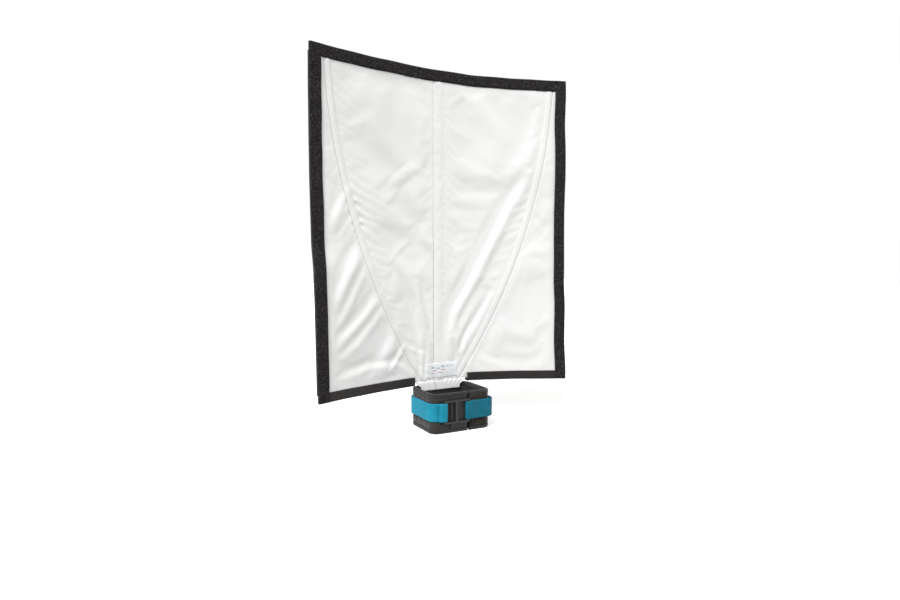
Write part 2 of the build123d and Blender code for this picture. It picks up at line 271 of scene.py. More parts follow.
def puckers(offset, along, seam, reach, wave, seed):
    """Short slanting wrinkles beside a seam, dying away from it."""
    d = np.abs(offset - seam)
    phase = (along + PUCKER_SLANT * d) / wave
    wander = np.array([noise.noise(Vector((a * 45, seed, 0))) for a in along])
    strength = np.array([0.55 + 0.9 * noise.noise(Vector((a * 16, seed + 9, 0))) for a in along])
    shape = np.sin(2 * np.pi * (phase + 0.9 * wander))
    return np.clip(strength, 0, 1.4) * shape * np.exp(-d / reach) * (1 - np.exp(-(d / (0.6 * MM)) ** 2))


def edge_mask(s, z, inset, soft):
    """0 at the tapes' inner edges, 1 well inside the cloth."""
    from_side = HALF - TAPE_WIDTH - np.abs(s)
    from_top = TOP - TAPE_WIDTH - z
    from_bottom = np.where(np.abs(s) > NECK_HALF, z - (BOTTOM + HEM_WIDTH), z - (BOTTOM - 0.01))
    d = np.minimum(np.minimum(from_side, from_top), from_bottom)
    return np.clip((d - inset) / soft, 0, 1)


def sewn_lift(s, z):
    """How far the front cloth stands in front of the panel's middle, as its seams and folds hold it."""
    offset, along = rod_offset(s, z)
    centre = s - CENTRE_CHANNEL_S
    lift = np.full(len(s), HALF_THICK + 0.0002)
    mask = edge_mask(s, z, 0.0, 0.014)
    slack = sum(crease(s, z, *fold) for fold in FOLDS)
    slack += 0.7 * MM * ripple(s, z, 0.075, 3.0) + 0.22 * MM * ripple(s, z * 0.7, 0.022, 8.0)
    beside_rod = 1 - 0.65 * np.exp(-((np.abs(offset) - SIDE_CHANNEL) / 0.006) ** 2)
    beside_centre = 1 - 0.65 * np.exp(-((np.abs(centre) - CENTRE_CHANNEL) / 0.006) ** 2)
    lift += slack * mask * beside_rod * beside_centre
    rod_here = np.clip((TOP - 0.012 - z) / 0.004, 0, 1)
    quiet = np.where(s > 0, 0.5, 1.0)        # the right channel lies flatter than the left one
    lift += 1.15 * MM * quiet * np.exp(-(offset / (2.7 * MM)) ** 2) * rod_here
    centre_band = 0.55 * np.exp(-(centre / (5.0 * MM)) ** 4) + 0.45 * np.exp(-(centre / (2.2 * MM)) ** 2)
    lift += centre_band * MM * rod_here
    faint_inner = np.where(s > 0, 0.15, 0.10 + 0.5 * np.clip((z - 0.165) / 0.04, 0, 1))
    for gap, depth in ((np.abs(offset) - SIDE_CHANNEL, np.where(offset < 0, faint_inner, 0.75)),
                       (np.abs(centre) - CENTRE_CHANNEL, np.where(centre < 0, 0.95, 0.35))):
        lift -= depth * MM * np.exp(-(gap / (0.55 * MM)) ** 2) * rod_here
    seam_mask = edge_mask(s, z, -0.004, 0.01) * rod_here
    busy = (0.30 + 0.85 * np.exp(-((z - 0.258) / 0.042) ** 2)) * quiet ** 1.6
    inside = np.where(np.abs(offset) < SIDE_CHANNEL, 0.10, 1.0)
    for seam, height, reach, wave, seed in ((-SIDE_CHANNEL, 1.10, 0.0100, 0.0140, 2.0),
                                            (SIDE_CHANNEL, 0.40, 0.0060, 0.0125, 8.0)):
        lift += height * MM * puckers(offset, along, seam, reach, wave, seed) * busy * inside * seam_mask
    for seam, seed in ((-CENTRE_CHANNEL, 11.0), (CENTRE_CHANNEL, 17.0)):
        wrinkle = puckers(centre, z, seam, 0.005, 0.013, seed)
        lift += 0.16 * MM * wrinkle * seam_mask
    tape_edge = edge_mask(s, z, 0.0, 0.004) * (1 - edge_mask(s, z, 0.0, 0.016))
    lift += 0.16 * MM * tape_edge * np.sin((s + z) * 2 * np.pi / 0.011 + 4 * ripple(s, z, 0.03, 5.0))
    under_tape = edge_mask(s, z, -0.002, 0.002)
    flat_lift = HALF_THICK - 0.0004
    return np.where(under_tape > 0, lift, flat_lift) * under_tape + flat_lift * (1 - under_tape)


# ---- the front cloth's own wrinkles, by simulation -------------------------------------------------
SETTLE_CELL = 0.0036                    # the simulated cloth's cells
SETTLE_SCALE = 5.0                      # the solver works best on cloth about two metres wide
SETTLE_FRAMES = 24
CALM_BY_SEAMS = 0.7                     # how much of the settling the seams take away beside them
SETTLED = {}                            # where each point of the flat cloth moved, once simulated


def from_seams(s, offset):
    """The distance to the nearest channel seam."""
    from_centre = np.abs(np.abs(s - CENTRE_CHANNEL_S) - CENTRE_CHANNEL)
    return np.minimum(np.abs(np.abs(offset) - SIDE_CHANNEL), from_centre)


def pinned(s, z):
    """1 where the cloth is held: under the tapes, along the channel seams and along the side rods."""
    offset, _ = rod_offset(s, z)
    gap = from_seams(s, offset)
    seam = np.clip(1.6 - gap / 0.0022, 0, 1)
    faint = (offset < 0) & (z < 0.17) & (np.abs(np.abs(offset) - SIDE_CHANNEL) < 0.004)
    seam = np.where(faint, seam * 0.3, seam)
    tape = 1 - edge_mask(s, z, -0.001, 0.004)
    rod = np.exp(-(offset / 0.003) ** 2) * 0.6
    return np.clip(np.maximum(np.maximum(seam, tape), rod), 0, 1)


def relax(name, flat_bm, points, held, cap, **settings):
    """Lets a mesh settle as cloth, a little too large for where it is held; how far each point moved."""
    move_to(flat_bm, points * SETTLE_SCALE)
    piece = make_object(name, flat_bm, WHITE_CLOTH)
    hold = piece.vertex_groups.new(name="held")
    for i, weight in enumerate(held):
        hold.add([i], float(weight), "REPLACE")
    cloth = piece.modifiers.new("settle", "CLOTH")
    cloth.collision_settings.use_collision = False
    cloth.point_cache.frame_end = SETTLE_FRAMES
    cloth.settings.effector_weights.gravity = 0
    cloth.settings.vertex_group_mass = "held"
    for key, value in settings.items():
        setattr(cloth.settings, key, value)
    scene = bpy.context.scene
    for frame_number in range(1, SETTLE_FRAMES + 1):
        scene.frame_set(frame_number)
    settled_piece = piece.evaluated_get(bpy.context.evaluated_depsgraph_get())
    ended = np.array([v.co for v in settled_piece.data.vertices], float) / SETTLE_SCALE
    scene.frame_set(1)
    bpy.data.objects.remove(piece)
    moved = ended - points
    far = np.linalg.norm(moved, axis=1)
    return moved * (cap * np.tanh(far / cap) / np.maximum(far, 1e-9))[:, None]


def settle_front():
    """Settles the whole front cloth, laid flat, and keeps how far it moved."""
    bm = flat_grid((-HALF, HALF), (BOTTOM - 0.001, TOP), SETTLE_CELL)
    flat = coordinates(bm)
    points = np.column_stack([flat[:, :2], sewn_lift(flat[:, 0], flat[:, 1])])
    moved = relax("settling_cloth", bm, points, pinned(flat[:, 0], flat[:, 1]), 0.0028,
                  quality=6, mass=0.15, tension_stiffness=40, compression_stiffness=40, shear_stiffness=20,
                  bending_stiffness=0.12, air_damping=2, shrink_min=-0.005,
                  use_pressure=True, uniform_pressure_force=0.05)
    order = np.lexsort((flat[:, 0], flat[:, 1]))
    SETTLED["s"] = np.unique(np.round(flat[:, 0], 7))
    SETTLED["z"] = np.unique(np.round(flat[:, 1], 7))
    SETTLED["moved"] = moved[order].reshape(len(SETTLED["z"]), len(SETTLED["s"]), 3)


def settled(s, z):
    """How far forward the simulation moved the cloth, smoothly between its own points."""
    if not SETTLED:
        return np.zeros(len(s))
    xs, zs, field = SETTLED["s"], SETTLED["z"], SETTLED["moved"][:, :, 2]
    x = np.clip((s - xs[0]) / (xs[1] - xs[0]), 0, len(xs) - 1.001)
    y = np.clip((z - zs[0]) / (zs[1] - zs[0]), 0, len(zs) - 1.001)
    i, j = x.astype(int), y.astype(int)

    def weights(t):
        return ((-t ** 3 + 2 * t ** 2 - t) / 2, (3 * t ** 3 - 5 * t ** 2 + 2) / 2,
                (-3 * t ** 3 + 4 * t ** 2 + t) / 2, (t ** 3 - t ** 2) / 2)

    total = np.zeros(len(s))
    for a, wx in zip((-1, 0, 1, 2), weights(x - i)):
        for b, wy in zip((-1, 0, 1, 2), weights(y - j)):
            total += wx * wy * field[np.clip(j + b, 0, len(zs) - 1), np.clip(i + a, 0, len(xs) - 1)]
    return total


FLOOR_SOFTNESS = 0.0004


def soft_floor(value, least):
    """The value, kept smoothly above the least it may be."""
    return least + np.logaddexp(0, (value - least) / FLOOR_SOFTNESS) * FLOOR_SOFTNESS


def over_rods(s, z):
    """1 along the rods' lines, 0 away from them."""
    offset, _ = rod_offset(s, z)
    return np.maximum(np.exp(-(offset / 0.003) ** 2), np.exp(-((s - CENTRE_CHANNEL_S) / 0.003) ** 2))


def front_lift(s, z):
    """The front cloth's height, wrinkles included, kept clear of the rods and the back cloth."""
    offset, _ = rod_offset(s, z)
    gap = from_seams(s, offset)
    calm = 1 - CALM_BY_SEAMS * np.exp(-(gap / 0.005) ** 2)
    lift = sewn_lift(s, z) + 0.85 * settled(s, z) * calm
    return soft_floor(lift, 0.0009 + 0.0013 * over_rods(s, z))


def back_lift(s, z):
    """The back cloth, behind the panel's middle; its border turns forward round the edge."""
    offset, _ = rod_offset(s, z)
    mask = edge_mask(s, z, -0.01, 0.02)
    lift = -HALF_THICK - 0.0002
    slack = sum(crease(s, z, *fold) for fold in FOLDS[::2]) * 0.35
    slack += 1.3 * MM * ripple(s, z, 0.06, 21.0) + 0.4 * MM * ripple(s, z, 0.024, 23.0)
    rod_here = np.clip((TOP - 0.012 - z) / 0.004, 0, 1)
    bulge = np.sqrt(np.clip(1 - (offset / 0.0052) ** 2, 0, 1)) + np.sqrt(
        np.clip(1 - ((s - CENTRE_CHANNEL_S) / 0.007) ** 2, 0, 1))
    lift = lift + slack * mask - 1.0 * MM * bulge * rod_here
    lift = -soft_floor(-lift, 0.0010)
    hem = np.where(np.abs(s) > NECK_HALF, BOTTOM, BOTTOM - 0.02)
    edge = np.minimum(np.minimum(HALF - np.abs(s), TOP - z), z - hem)
    turn = np.clip(edge / 0.0022, 0, 1)
    under_tape = np.where(HALF - np.abs(s) < 0.0025, HALF_THICK - 0.0001, HALF_THICK - 0.0006)
    return lift * np.sqrt(turn) + under_tape * (1 - np.sqrt(turn))


# ---- mesh helpers -----------------------------------------------------------------------------------
def coordinates(bm):
    return np.array([v.co for v in bm.verts], float).reshape(-1, 3)


def move_to(bm, points):
    for v, p in zip(bm.verts, points):
        v.co = p


def make_object(name, bm, material):
    """Turns a bmesh into an object at the origin, with its material."""
    mesh = bpy.data.meshes.new(name)
    bm.to_mesh(mesh)
    bm.free()
    for face in mesh.polygons:
        face.use_smooth = True
    mesh.materials.append(material)
    made = bpy.data.objects.new(name, mesh)
    bpy.context.scene.collection.objects.link(made)
    return made


def flat_grid(s_range, z_range, cell):
    """A flat grid in (s, z)."""
    width, height = s_range[1] - s_range[0], z_range[1] - z_range[0]
    bm = bmesh.new()
    bmesh.ops.create_grid(bm, x_segments=max(2, round(width / cell)),
                          y_segments=max(2, round(height / cell)), size=0.5)
    bmesh.ops.scale(bm, vec=(width, height, 1), verts=bm.verts)
    middle = ((s_range[0] + s_range[1]) / 2, (z_range[0] + z_range[1]) / 2, 0)
    bmesh.ops.translate(bm, vec=middle, verts=bm.verts)
    return bm


def keep_uv(bm):
    """Writes the flat place of each corner into the UV map, in metres."""
    uv = bm.loops.layers.uv.new("cloth")
    for face in bm.faces:
        for loop in face.loops:
            loop[uv].uv = (loop.vert.co.x, loop.vert.co.y)


def slit(bm, s=None, z=None, **clear):
    """Cuts a flat sheet along one upright line at s, or along one level line at z."""
    at, normal = ((s, 0, 0), (1, 0, 0)) if z is None else ((0, z, 0), (0, 1, 0))
    bmesh.ops.bisect_plane(bm, geom=bm.verts[:] + bm.edges[:] + bm.faces[:], dist=1e-7, plane_co=at,
                           plane_no=normal, **clear)


def refine(bm, reach):
    """Adds cells along the channel seams, so that their stitching grooves stay crisp."""
    co = coordinates(bm)
    offset, _ = rod_offset(co[:, 0], co[:, 1])
    near = from_seams(co[:, 0], offset)
    bm.verts.index_update()
    chosen = [e for e in bm.edges if all(near[v.index] < reach for v in e.verts)]
    bmesh.ops.subdivide_edges(bm, edges=chosen, cuts=1, use_grid_fill=True)


def notch(bm):
    """Takes away the cloth below the neck line between the bottom tapes."""
    for s in (-NECK_HALF, NECK_HALF):
        slit(bm, s=s)
    slit(bm, z=NECK_Z)
    middles = [(f, f.calc_center_median()) for f in bm.faces]
    gone = [f for f, middle in middles if abs(middle.x) < NECK_HALF and middle.y < NECK_Z]
    bmesh.ops.delete(bm, geom=gone, context="FACES")


PIECES = {      # each cloth piece: its range of s, and the two bodies either side of its fold line
    "left_outer": (-HALF, -SPLIT, "left_inner", "left_outer"),
    "left_centre": (-SPLIT, CENTRE_CHANNEL_S - CENTRE_CHANNEL, "panel_centre", "left_inner"),
    "right_centre": (CENTRE_CHANNEL_S - CENTRE_CHANNEL, SPLIT, "panel_centre", "right_inner"),
    "right_outer": (SPLIT, HALF, "right_inner", "right_outer"),
}


def bend_with(piece, key):
    """Bakes a piece's place into its mesh; its fold line, angle and reach are worked out but not used."""
    side = -1 if key.startswith("left") else 1
    line = JOINT[f"{'left' if side < 0 else 'right'}_{'outer' if 'outer' in key else 'inner'}_fold"]["pos_m"]
    angle = WING[side] if "outer" in key else WING[side] / 2
    reach = Vector((side * math.cos(angle), -math.sin(angle), 0)) * BLEND_REACH
    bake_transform(piece)


def solid_sheet(piece, thickness, offset):
    skin = piece.modifiers.new("thickness", "SOLIDIFY")
    skin.thickness = thickness
    skin.offset = offset
    return piece


# ---- shader maths -----------------------------------------------------------------------------------
class Value:
    """A shader socket that takes part in Python arithmetic, one Math node for each operation."""

    def __init__(self, finish, socket):
        self.finish = finish
        self.socket = socket

    def maths(self, operation, *others):
        return self.finish.node("Math", {"operation": operation}, [self, *others])

    def __add__(self, other):
        return self.maths("ADD", other)

    def __sub__(self, other):
        return self.maths("SUBTRACT", other)

    def __rsub__(self, other):
        return self.finish.node("Math", {"operation": "SUBTRACT"}, [other, self])

    def __mul__(self, other):
        return self.maths("MULTIPLY", other)

    def __truediv__(self, other):
        return self.maths("DIVIDE", other)

    def __pow__(self, other):
        return self.maths("POWER", other)

    __radd__ = __add__
    __rmul__ = __mul__


class Finish:
    """A material: its nodes, and a Principled shader with the values that are the same all over."""

    def __init__(self, name, **constants):
        self.material = bpy.data.materials.new(name)
        self.material.use_nodes = True
        self.tree = self.material.node_tree
        self.shader = self.tree.nodes["Principled BSDF"]
        for socket, value in constants.items():
            self.shader.inputs[socket.replace("_", " ")].default_value = value

    def node(self, kind, settings=None, inputs=(), output=0):
        """Adds one node: its settings first, then the values or links of its sockets."""
        made = self.tree.nodes.new("ShaderNode" + kind)
        for key, value in (settings or {}).items():
            if key == "stops":
                stops = made.color_ramp.elements
                stops[0].position, stops[1].position = value[0][0], value[-1][0]
                for at, _ in value[1:-1]:
                    stops.new(at)
                for stop, (_, colour) in zip(stops, value):
                    stop.color = colour
            else:
                setattr(made, key, value)
        for key, value in inputs.items() if isinstance(inputs, dict) else enumerate(inputs):
            if isinstance(value, Value):
                self.tree.links.new(value.socket, made.inputs[key])
            else:
                made.inputs[key].default_value = value
        return Value(self, made.outputs[output])

    def flat_place(self):
        """The cloth's own flat coordinates, in millimetres."""
        split = self.node("SeparateXYZ", None, [self.node("UVMap", {"uv_map": "cloth"})])
        node = split.socket.node
        return Value(self, node.outputs[0]) * 1000, Value(self, node.outputs[1]) * 1000

    def place(self, stretch=(1000, 1000, 1000)):
        """Object coordinates in millimetres, or stretched."""
        at = self.node("TexCoord", None, [], 3)
        return self.node("VectorMath", {"operation": "MULTIPLY"}, [at, stretch])

    def flat_vector(self, stretch=(1000, 1000, 1)):
        at = self.node("UVMap", {"uv_map": "cloth"})
        return self.node("VectorMath", {"operation": "MULTIPLY"}, [at, stretch])

    def noise(self, vector, scale, detail=2.0, rough=0.5):
        return self.node("TexNoise", None, {"Vector": vector, "Scale": scale, "Detail": detail,
                                            "Roughness": rough})

    def cells(self, vector, scale):
        return self.node("TexVoronoi", None, {"Vector": vector, "Scale": scale})

    def wave(self, value, pitch):
        """A sine from 0 to 1 that repeats every pitch millimetres."""
        return (value * (2 * math.pi / pitch)).maths("SINE") * 0.5 + 0.5

    def weave(self, u, v, pitch):
        """Plain weave: over and under, one thread every pitch millimetres."""
        across = (u * (math.pi / pitch)).maths("SINE")
        along = (v * (math.pi / pitch)).maths("SINE")
        return across * along * 0.5 + 0.5

    def between(self, factor, a, b):
        return self.node("Mix", {"data_type": "RGBA"}, {0: factor, 6: a, 7: b}, 2)

    def ramp(self, value, *stops):
        return self.node("ValToRGB", {"stops": stops}, [value])

    def done(self, colour=None, roughness=None, height=None, depth=0.1, strength=1.0):
        """Links what varies, with the bump's depth in millimetres."""
        if colour is not None:
            self.tree.links.new(colour.socket, self.shader.inputs["Base Color"])
        if roughness is not None:
            self.tree.links.new(roughness.socket, self.shader.inputs["Roughness"])
        if height is not None:
            bump = self.node("Bump", None, {"Height": height, "Strength": strength, "Distance": depth * MM})
            self.tree.links.new(bump.socket, self.shader.inputs["Normal"])
        return self.material


def tint(red, green, blue):
    """A display colour from 0 to 255 as a linear one."""
    return tuple(((c / 255 + 0.055) / 1.055) ** 2.4 if c > 10 else c / 255 / 12.92
                 for c in (red, green, blue)) + (1,)


def white_cloth_finish():
    """Coated white cloth. A fine painted shade line runs along the needle line of each channel's outer seam,
    standing in for the seam's shadow.
    """
    f = Finish("coated_white_cloth", Specular_IOR_Level=0.42, Sheen_Weight=0.08, Sheen_Roughness=0.4)
    u, v = f.flat_place()
    threads = f.weave(u, v, 0.34)
    soft = f.noise(f.flat_vector(), 0.012, 3)
    slub = f.noise(f.flat_vector((300, 3000, 1)), 1.0, 2)
    colour = f.ramp(soft * 0.7 + slub * 0.3, (0.30, tint(234, 235, 235)), (0.70, tint(241, 241, 240)))
    # painted shade: grey lines at the centre channel's left seam and the side channels' outer seams stand in
    # for the shadow in the seams; the centre one is strongest low down
    seam = (CENTRE_CHANNEL_S - CENTRE_CHANNEL) / MM
    low_down = ((300 - v) / 90).maths("MINIMUM", 1).maths("MAXIMUM", 0.22)
    centre_seam_shade = (1 - ((u - seam).maths("ABSOLUTE") - 0.25) * 3).maths("MINIMUM", 1).maths("MAXIMUM", 0)
    centre_seam_shade = centre_seam_shade * low_down
    across = u.maths("ABSOLUTE") - ROD_CENTRE[0] / MM
    up = v - ROD_CENTRE[1] / MM
    from_rod = (across * across + up * up).maths("SQRT") - (ROD_RADIUS + SIDE_CHANNEL) / MM
    side_seam_shade = (1 - (from_rod.maths("ABSOLUTE") - 0.20) * 3).maths("MINIMUM", 1).maths("MAXIMUM", 0)
    side_seam_shade = side_seam_shade * ((v - 66) / 10).maths("MINIMUM", 1).maths("MAXIMUM", 0) * 0.46
    patchy = f.noise(f.flat_vector((600, 90, 1)), 1.0, 2)
    shade = (centre_seam_shade * 0.80).maths("MAXIMUM", side_seam_shade) * (patchy * 0.8 + 0.6)
    # mixes the painted seam shade into the cloth's colour, towards a grey shade colour
    colour = f.between(shade.maths("MINIMUM", 1), colour, tint(96, 94, 92))
    return f.done(colour, 0.47 + threads * 0.08 + soft * 0.06, threads + slub * 0.4, 0.02, 0.5)


def black_cloth_finish():
    f = Finish("coated_black_cloth", Specular_IOR_Level=0.45, Sheen_Weight=0.12, Sheen_Roughness=0.35)
    u, v = f.flat_place()
    threads = f.weave(u, v, 0.38)
    soft = f.noise(f.flat_vector(), 0.02, 4)
    colour = f.ramp(soft * 0.6 + threads * 0.4, (0.25, tint(21, 21, 23)), (0.75, tint(38, 38, 41)))
    return f.done(colour, 0.44 + threads * 0.14 + soft * 0.1, threads, 0.03, 0.7)


def loop_tape_finish(name, dark, mid, light, tip):
    f = Finish(name, Specular_IOR_Level=0.15, Sheen_Weight=0.12, Sheen_Roughness=0.5,
               Sheen_Tint=tint(150, 140, 145))
    at = f.place()
    curls = f.cells(at, 1.5)
    fuzz = f.noise(at, 2.6, 4, 0.65)
    speck = f.noise(at, 0.62, 4, 0.75)
    colour = f.ramp(curls * 0.45 + speck * 0.55, (0.28, dark), (0.46, mid), (0.58, light), (0.72, tip))
    return f.done(colour, 0.86 + fuzz * 0.12, curls * 0.6 + fuzz, 0.45, 0.9)


def hem_tape_finish():
    f = Finish("woven_hem_tape", Specular_IOR_Level=0.3, Sheen_Weight=0.15, Sheen_Roughness=0.5)
    u, v = f.flat_place()
    ribs = f.wave(v, 0.9) * 0.5 + f.weave(u, v, 0.45) * 0.5
    patchy = f.noise(f.place(), 0.16, 4)
    colour = f.ramp(ribs * 0.35 + patchy * 0.65, (0.28, tint(14, 12, 12)), (0.72, tint(42, 36, 34)))
    return f.done(colour, 0.7 + ribs * 0.15, ribs + patchy * 0.3, 0.12, 0.8)


def hook_tape_finish():
    f = Finish("hook_tape", Specular_IOR_Level=0.45)
    u, v = f.flat_place()
    base = f.weave(u, v, 0.5)
    patchy = f.noise(f.place(), 0.3, 3)
    colour = f.ramp(base * 0.4 + patchy * 0.6, (0.25, tint(12, 12, 13)), (0.75, tint(38, 36, 36)))
    return f.done(colour, 0.5 + base * 0.25, base, 0.15, 0.8)


def collar_cloth_finish():
    f = Finish("collar_knit", Specular_IOR_Level=0.35, Sheen_Weight=0.2, Sheen_Roughness=0.45)
    u, v = f.flat_place()
    knit = f.wave(u + f.wave(v, 0.9) * 0.28, 0.62) * 0.6 + f.wave(v, 0.45) * 0.4
    nap = f.noise(f.flat_vector(), 0.9, 4, 0.6)
    cloud = f.noise(f.flat_vector(), 0.06, 3)
    colour = f.ramp(knit * 0.3 + nap * 0.3 + cloud * 0.4, (0.28, tint(24, 22, 22)), (0.72, tint(56, 52, 50)))
    return f.done(colour, 0.58 + nap * 0.2 + knit * 0.08, knit + nap * 0.6, 0.09, 0.8)


def binding_finish():
    f = Finish("edge_binding_tape", Specular_IOR_Level=0.35, Sheen_Weight=0.15, Sheen_Roughness=0.5)
    u, v = f.flat_place()
    ribs = f.wave(u, 0.8) * 0.65 + f.wave(v, 0.5) * 0.35
    patchy = f.noise(f.flat_vector(), 0.15, 4)
    colour = f.ramp(ribs * 0.35 + patchy * 0.65, (0.25, tint(12, 11, 12)), (0.75, tint(42, 39, 38)))
    return f.done(colour, 0.6 + ribs * 0.2, ribs, 0.12, 0.9)


def grip_finish():
    f = Finish("grip_lining_rubber", Specular_IOR_Level=0.4)
    u, v = f.flat_place()
    dots = f.weave(u, v, 2.4) * 2 - 1
    dots = dots.maths("ABSOLUTE")
    dots = ((dots - 0.35) * 4).maths("MINIMUM", 1).maths("MAXIMUM", 0)
    dust = f.noise(f.flat_vector(), 0.4, 4)
    colour = f.between(dots * 0.7 + dust * 0.2, tint(24, 23, 24), tint(60, 59, 60))
    return f.done(colour, 0.75 - dots * 0.25 + dust * 0.15, dots + dust * 0.15, 0.3, 1.0)


def webbing_finish(name, dark, mid, light):
    f = Finish(name, Specular_IOR_Level=0.25, Sheen_Weight=0.06, Sheen_Roughness=0.4)
    u, v = f.flat_place()
    warp = f.wave(v, 0.72)
    picks = f.wave(u + f.wave(v, 1.44) * 0.5, 1.0)
    thread = f.noise(f.flat_vector((160, 2600, 1)), 1.0, 3)
    cloud = f.noise(f.flat_vector(), 0.09, 3)
    body = warp * 0.25 + picks * 0.25 + thread * 0.28 + cloud * 0.22
    colour = f.ramp(body, (0.22, dark), (0.50, mid), (0.80, light))
    return f.done(colour, 0.55 + thread * 0.25, warp * 0.5 + picks * 0.6 + thread * 0.2, 0.13, 0.8)


def plastic_finish():
    f = Finish("moulded_buckle_plastic", Specular_IOR_Level=0.5)
    at = f.place()
    grain = f.noise(at, 3.2, 3)
    cloud = f.noise(at, 0.22, 3)
    scuff = f.noise(f.place((300, 300, 2500)), 1.0, 2)
    colour = f.ramp(cloud * 0.7 + scuff * 0.3, (0.3, tint(12, 11, 12)), (0.7, tint(24, 22, 22)))
    return f.done(colour, 0.36 + grain * 0.12 + scuff * 0.12, grain + scuff * 0.3, 0.02, 0.5)


def wire_finish():
    f = Finish("annealed_rod_wire", Metallic=1.0)
    at = f.place()
    drawn = f.noise(f.place((900, 900, 40)), 1.0, 3)
    spots = f.noise(at, 0.4, 3)
    colour = f.ramp(drawn * 0.5 + spots * 0.5, (0.3, tint(120, 120, 122)), (0.7, tint(168, 168, 168)))
    return f.done(colour, 0.34 + spots * 0.2, drawn, 0.02, 0.5)


def tip_finish():
    f = Finish("moulded_rod_tip", Specular_IOR_Level=0.45)
    grain = f.noise(f.place(), 2.2, 3)
    colour = f.ramp(grain, (0.3, tint(24, 24, 25)), (0.7, tint(36, 35, 36)))
    return f.done(colour, 0.45 + grain * 0.15, grain, 0.03, 0.5)


def thread_finish(name, dark, light):
    f = Finish(name, Specular_IOR_Level=0.4)
    twist = f.noise(f.place((2500, 2500, 2500)), 1.0, 2)
    return f.done(f.ramp(twist, (0.3, dark), (0.7, light)), 0.5 + twist * 0.2, twist, 0.05, 0.6)


def label_finish():
    """A woven label: satin ground with a few plain coloured bars, which say nothing."""
    f = Finish("woven_label", Specular_IOR_Level=0.35, Sheen_Weight=0.15, Sheen_Roughness=0.4)
    u, v = f.flat_place()
    threads = f.wave(v + f.wave(u, 0.5) * 0.2, 0.26)
    ground = f.between(threads * 0.4, tint(238, 240, 242), tint(222, 225, 229))
    ripple_row = f.noise(f.flat_vector((260, 1, 1)), 1.0, 1)

    def bar(low_u, high_u, low_v, high_v):
        inside = u.maths("GREATER_THAN", low_u) * u.maths("LESS_THAN", high_u)
        return inside * v.maths("GREATER_THAN", low_v) * v.maths("LESS_THAN", high_v)

    blue = bar(-13.5, -8.5, 70.4, 72.0) + bar(-6.5, -1.0, 69.8, 71.0) + bar(1.0, 6.0, 71.3, 73.0)
    blue = blue + bar(9.0, 12.0, 71.9, 73.0) + bar(14.0, 17.5, 72.2, 73.4)
    red = bar(-12.0, -6.0, 67.0, 68.1) + bar(1.0, 6.5, 67.6, 68.7)
    grey = bar(-14.0, -10.0, 63.4, 64.4) + bar(-4.0, 3.0, 64.2, 65.0)
    patchy = ripple_row * 0.5 + 0.5
    colour = f.between(blue.maths("MINIMUM", 1) * patchy, ground, tint(74, 146, 182))
    colour = f.between(red.maths("MINIMUM", 1) * patchy, colour, tint(176, 92, 88))
    colour = f.between(grey.maths("MINIMUM", 1) * patchy, colour, tint(104, 108, 120))
    return f.done(colour, 0.5 + threads * 0.15, threads, 0.03, 0.6)


WHITE_CLOTH = white_cloth_finish()
BLACK_CLOTH = black_cloth_finish()
LOOP_TAPE = loop_tape_finish("loop_tape_pile", tint(4, 4, 5), tint(15, 14, 15), tint(42, 39, 41),
                             tint(104, 100, 100))
COLLAR_PILE = loop_tape_finish("collar_loop_pile", tint(16, 14, 14), tint(36, 33, 32), tint(62, 58, 55),
                               tint(92, 87, 82))
HEM_TAPE = hem_tape_finish()
HOOK_TAPE = hook_tape_finish()
COLLAR_CLOTH = collar_cloth_finish()
BINDING = binding_finish()
GRIP_LINING = grip_finish()
# painted light: the left strap gets a lighter copy of the same webbing, standing in for the light falling on
# it from the left; the right strap and the tail keep the darker copy
WEBBING = webbing_finish("strap_webbing_weave", tint(0, 62, 82), tint(0, 100, 124), tint(8, 138, 158))
WEBBING_PAINTED_LIT = webbing_finish("strap_webbing_painted_lit", tint(0, 98, 126), tint(4, 138, 168),
                               tint(52, 180, 204))
PLASTIC = plastic_finish()
WIRE = wire_finish()
ROD_TIP = tip_finish()
WHITE_THREAD = thread_finish("white_thread", tint(196, 197, 197), tint(226, 227, 226))
DARK_THREAD = thread_finish("dark_thread", tint(18, 17, 18), tint(52, 49, 49))
TEAL_THREAD = thread_finish("teal_thread", tint(12, 92, 112), tint(40, 146, 170))
LABEL_CLOTH = label_finish()


# ---- panel: cloth, tapes, rods, label ---------------------------------------------------------------
def side_of(key):
    return -1 if key.startswith("left") else 1


def sheet_piece(name, key, s_range, z_range, lift_of, cell, material, thickness=0.0004,
                back=False, shape=None, grain=None):
    """One piece of the panel: a flat grid, trimmed, bent onto the standing shape and given its thickness."""
    low_s, high_s = PIECES[key][:2] if key else (-1, 1)
    a, b = max(s_range[0], low_s), min(s_range[1], high_s)
    if b - a < 0.001:
        return None
    bm = flat_grid((a, b), z_range, cell)
    if shape:
        shape(bm)
    for edge in (low_s, high_s):
        inside = edge + (NARROW if edge == low_s else -NARROW)
        if a < inside < b and abs(edge) < HALF - 0.001:
            bmesh.ops.bisect_plane(bm, geom=bm.verts[:] + bm.edges[:] + bm.faces[:], dist=1e-7,
                                   plane_co=(inside, 0, 0), plane_no=(1, 0, 0))
    keep_uv(bm)
    co = coordinates(bm)
    s, z = co[:, 0], co[:, 1]
    lift = lift_of(s, z)
    if grain:
        s, z = grain(s, z)
    move_to(bm, stand(s, z, lift))
    outward = sum((f.normal.y for f in bm.faces)) < 0
    if outward == back:
        bmesh.ops.reverse_faces(bm, faces=bm.faces)
    piece = make_object(name, bm, material)
    solid_sheet(piece, thickness, -1)
    return piece


NARROW = 0.00015                        # a narrow row of cells beside a cut keeps the shading whole


def cloth_shape(bm):
    refine(bm, 0.0042)
    refine(bm, 0.0022)
    notch(bm)


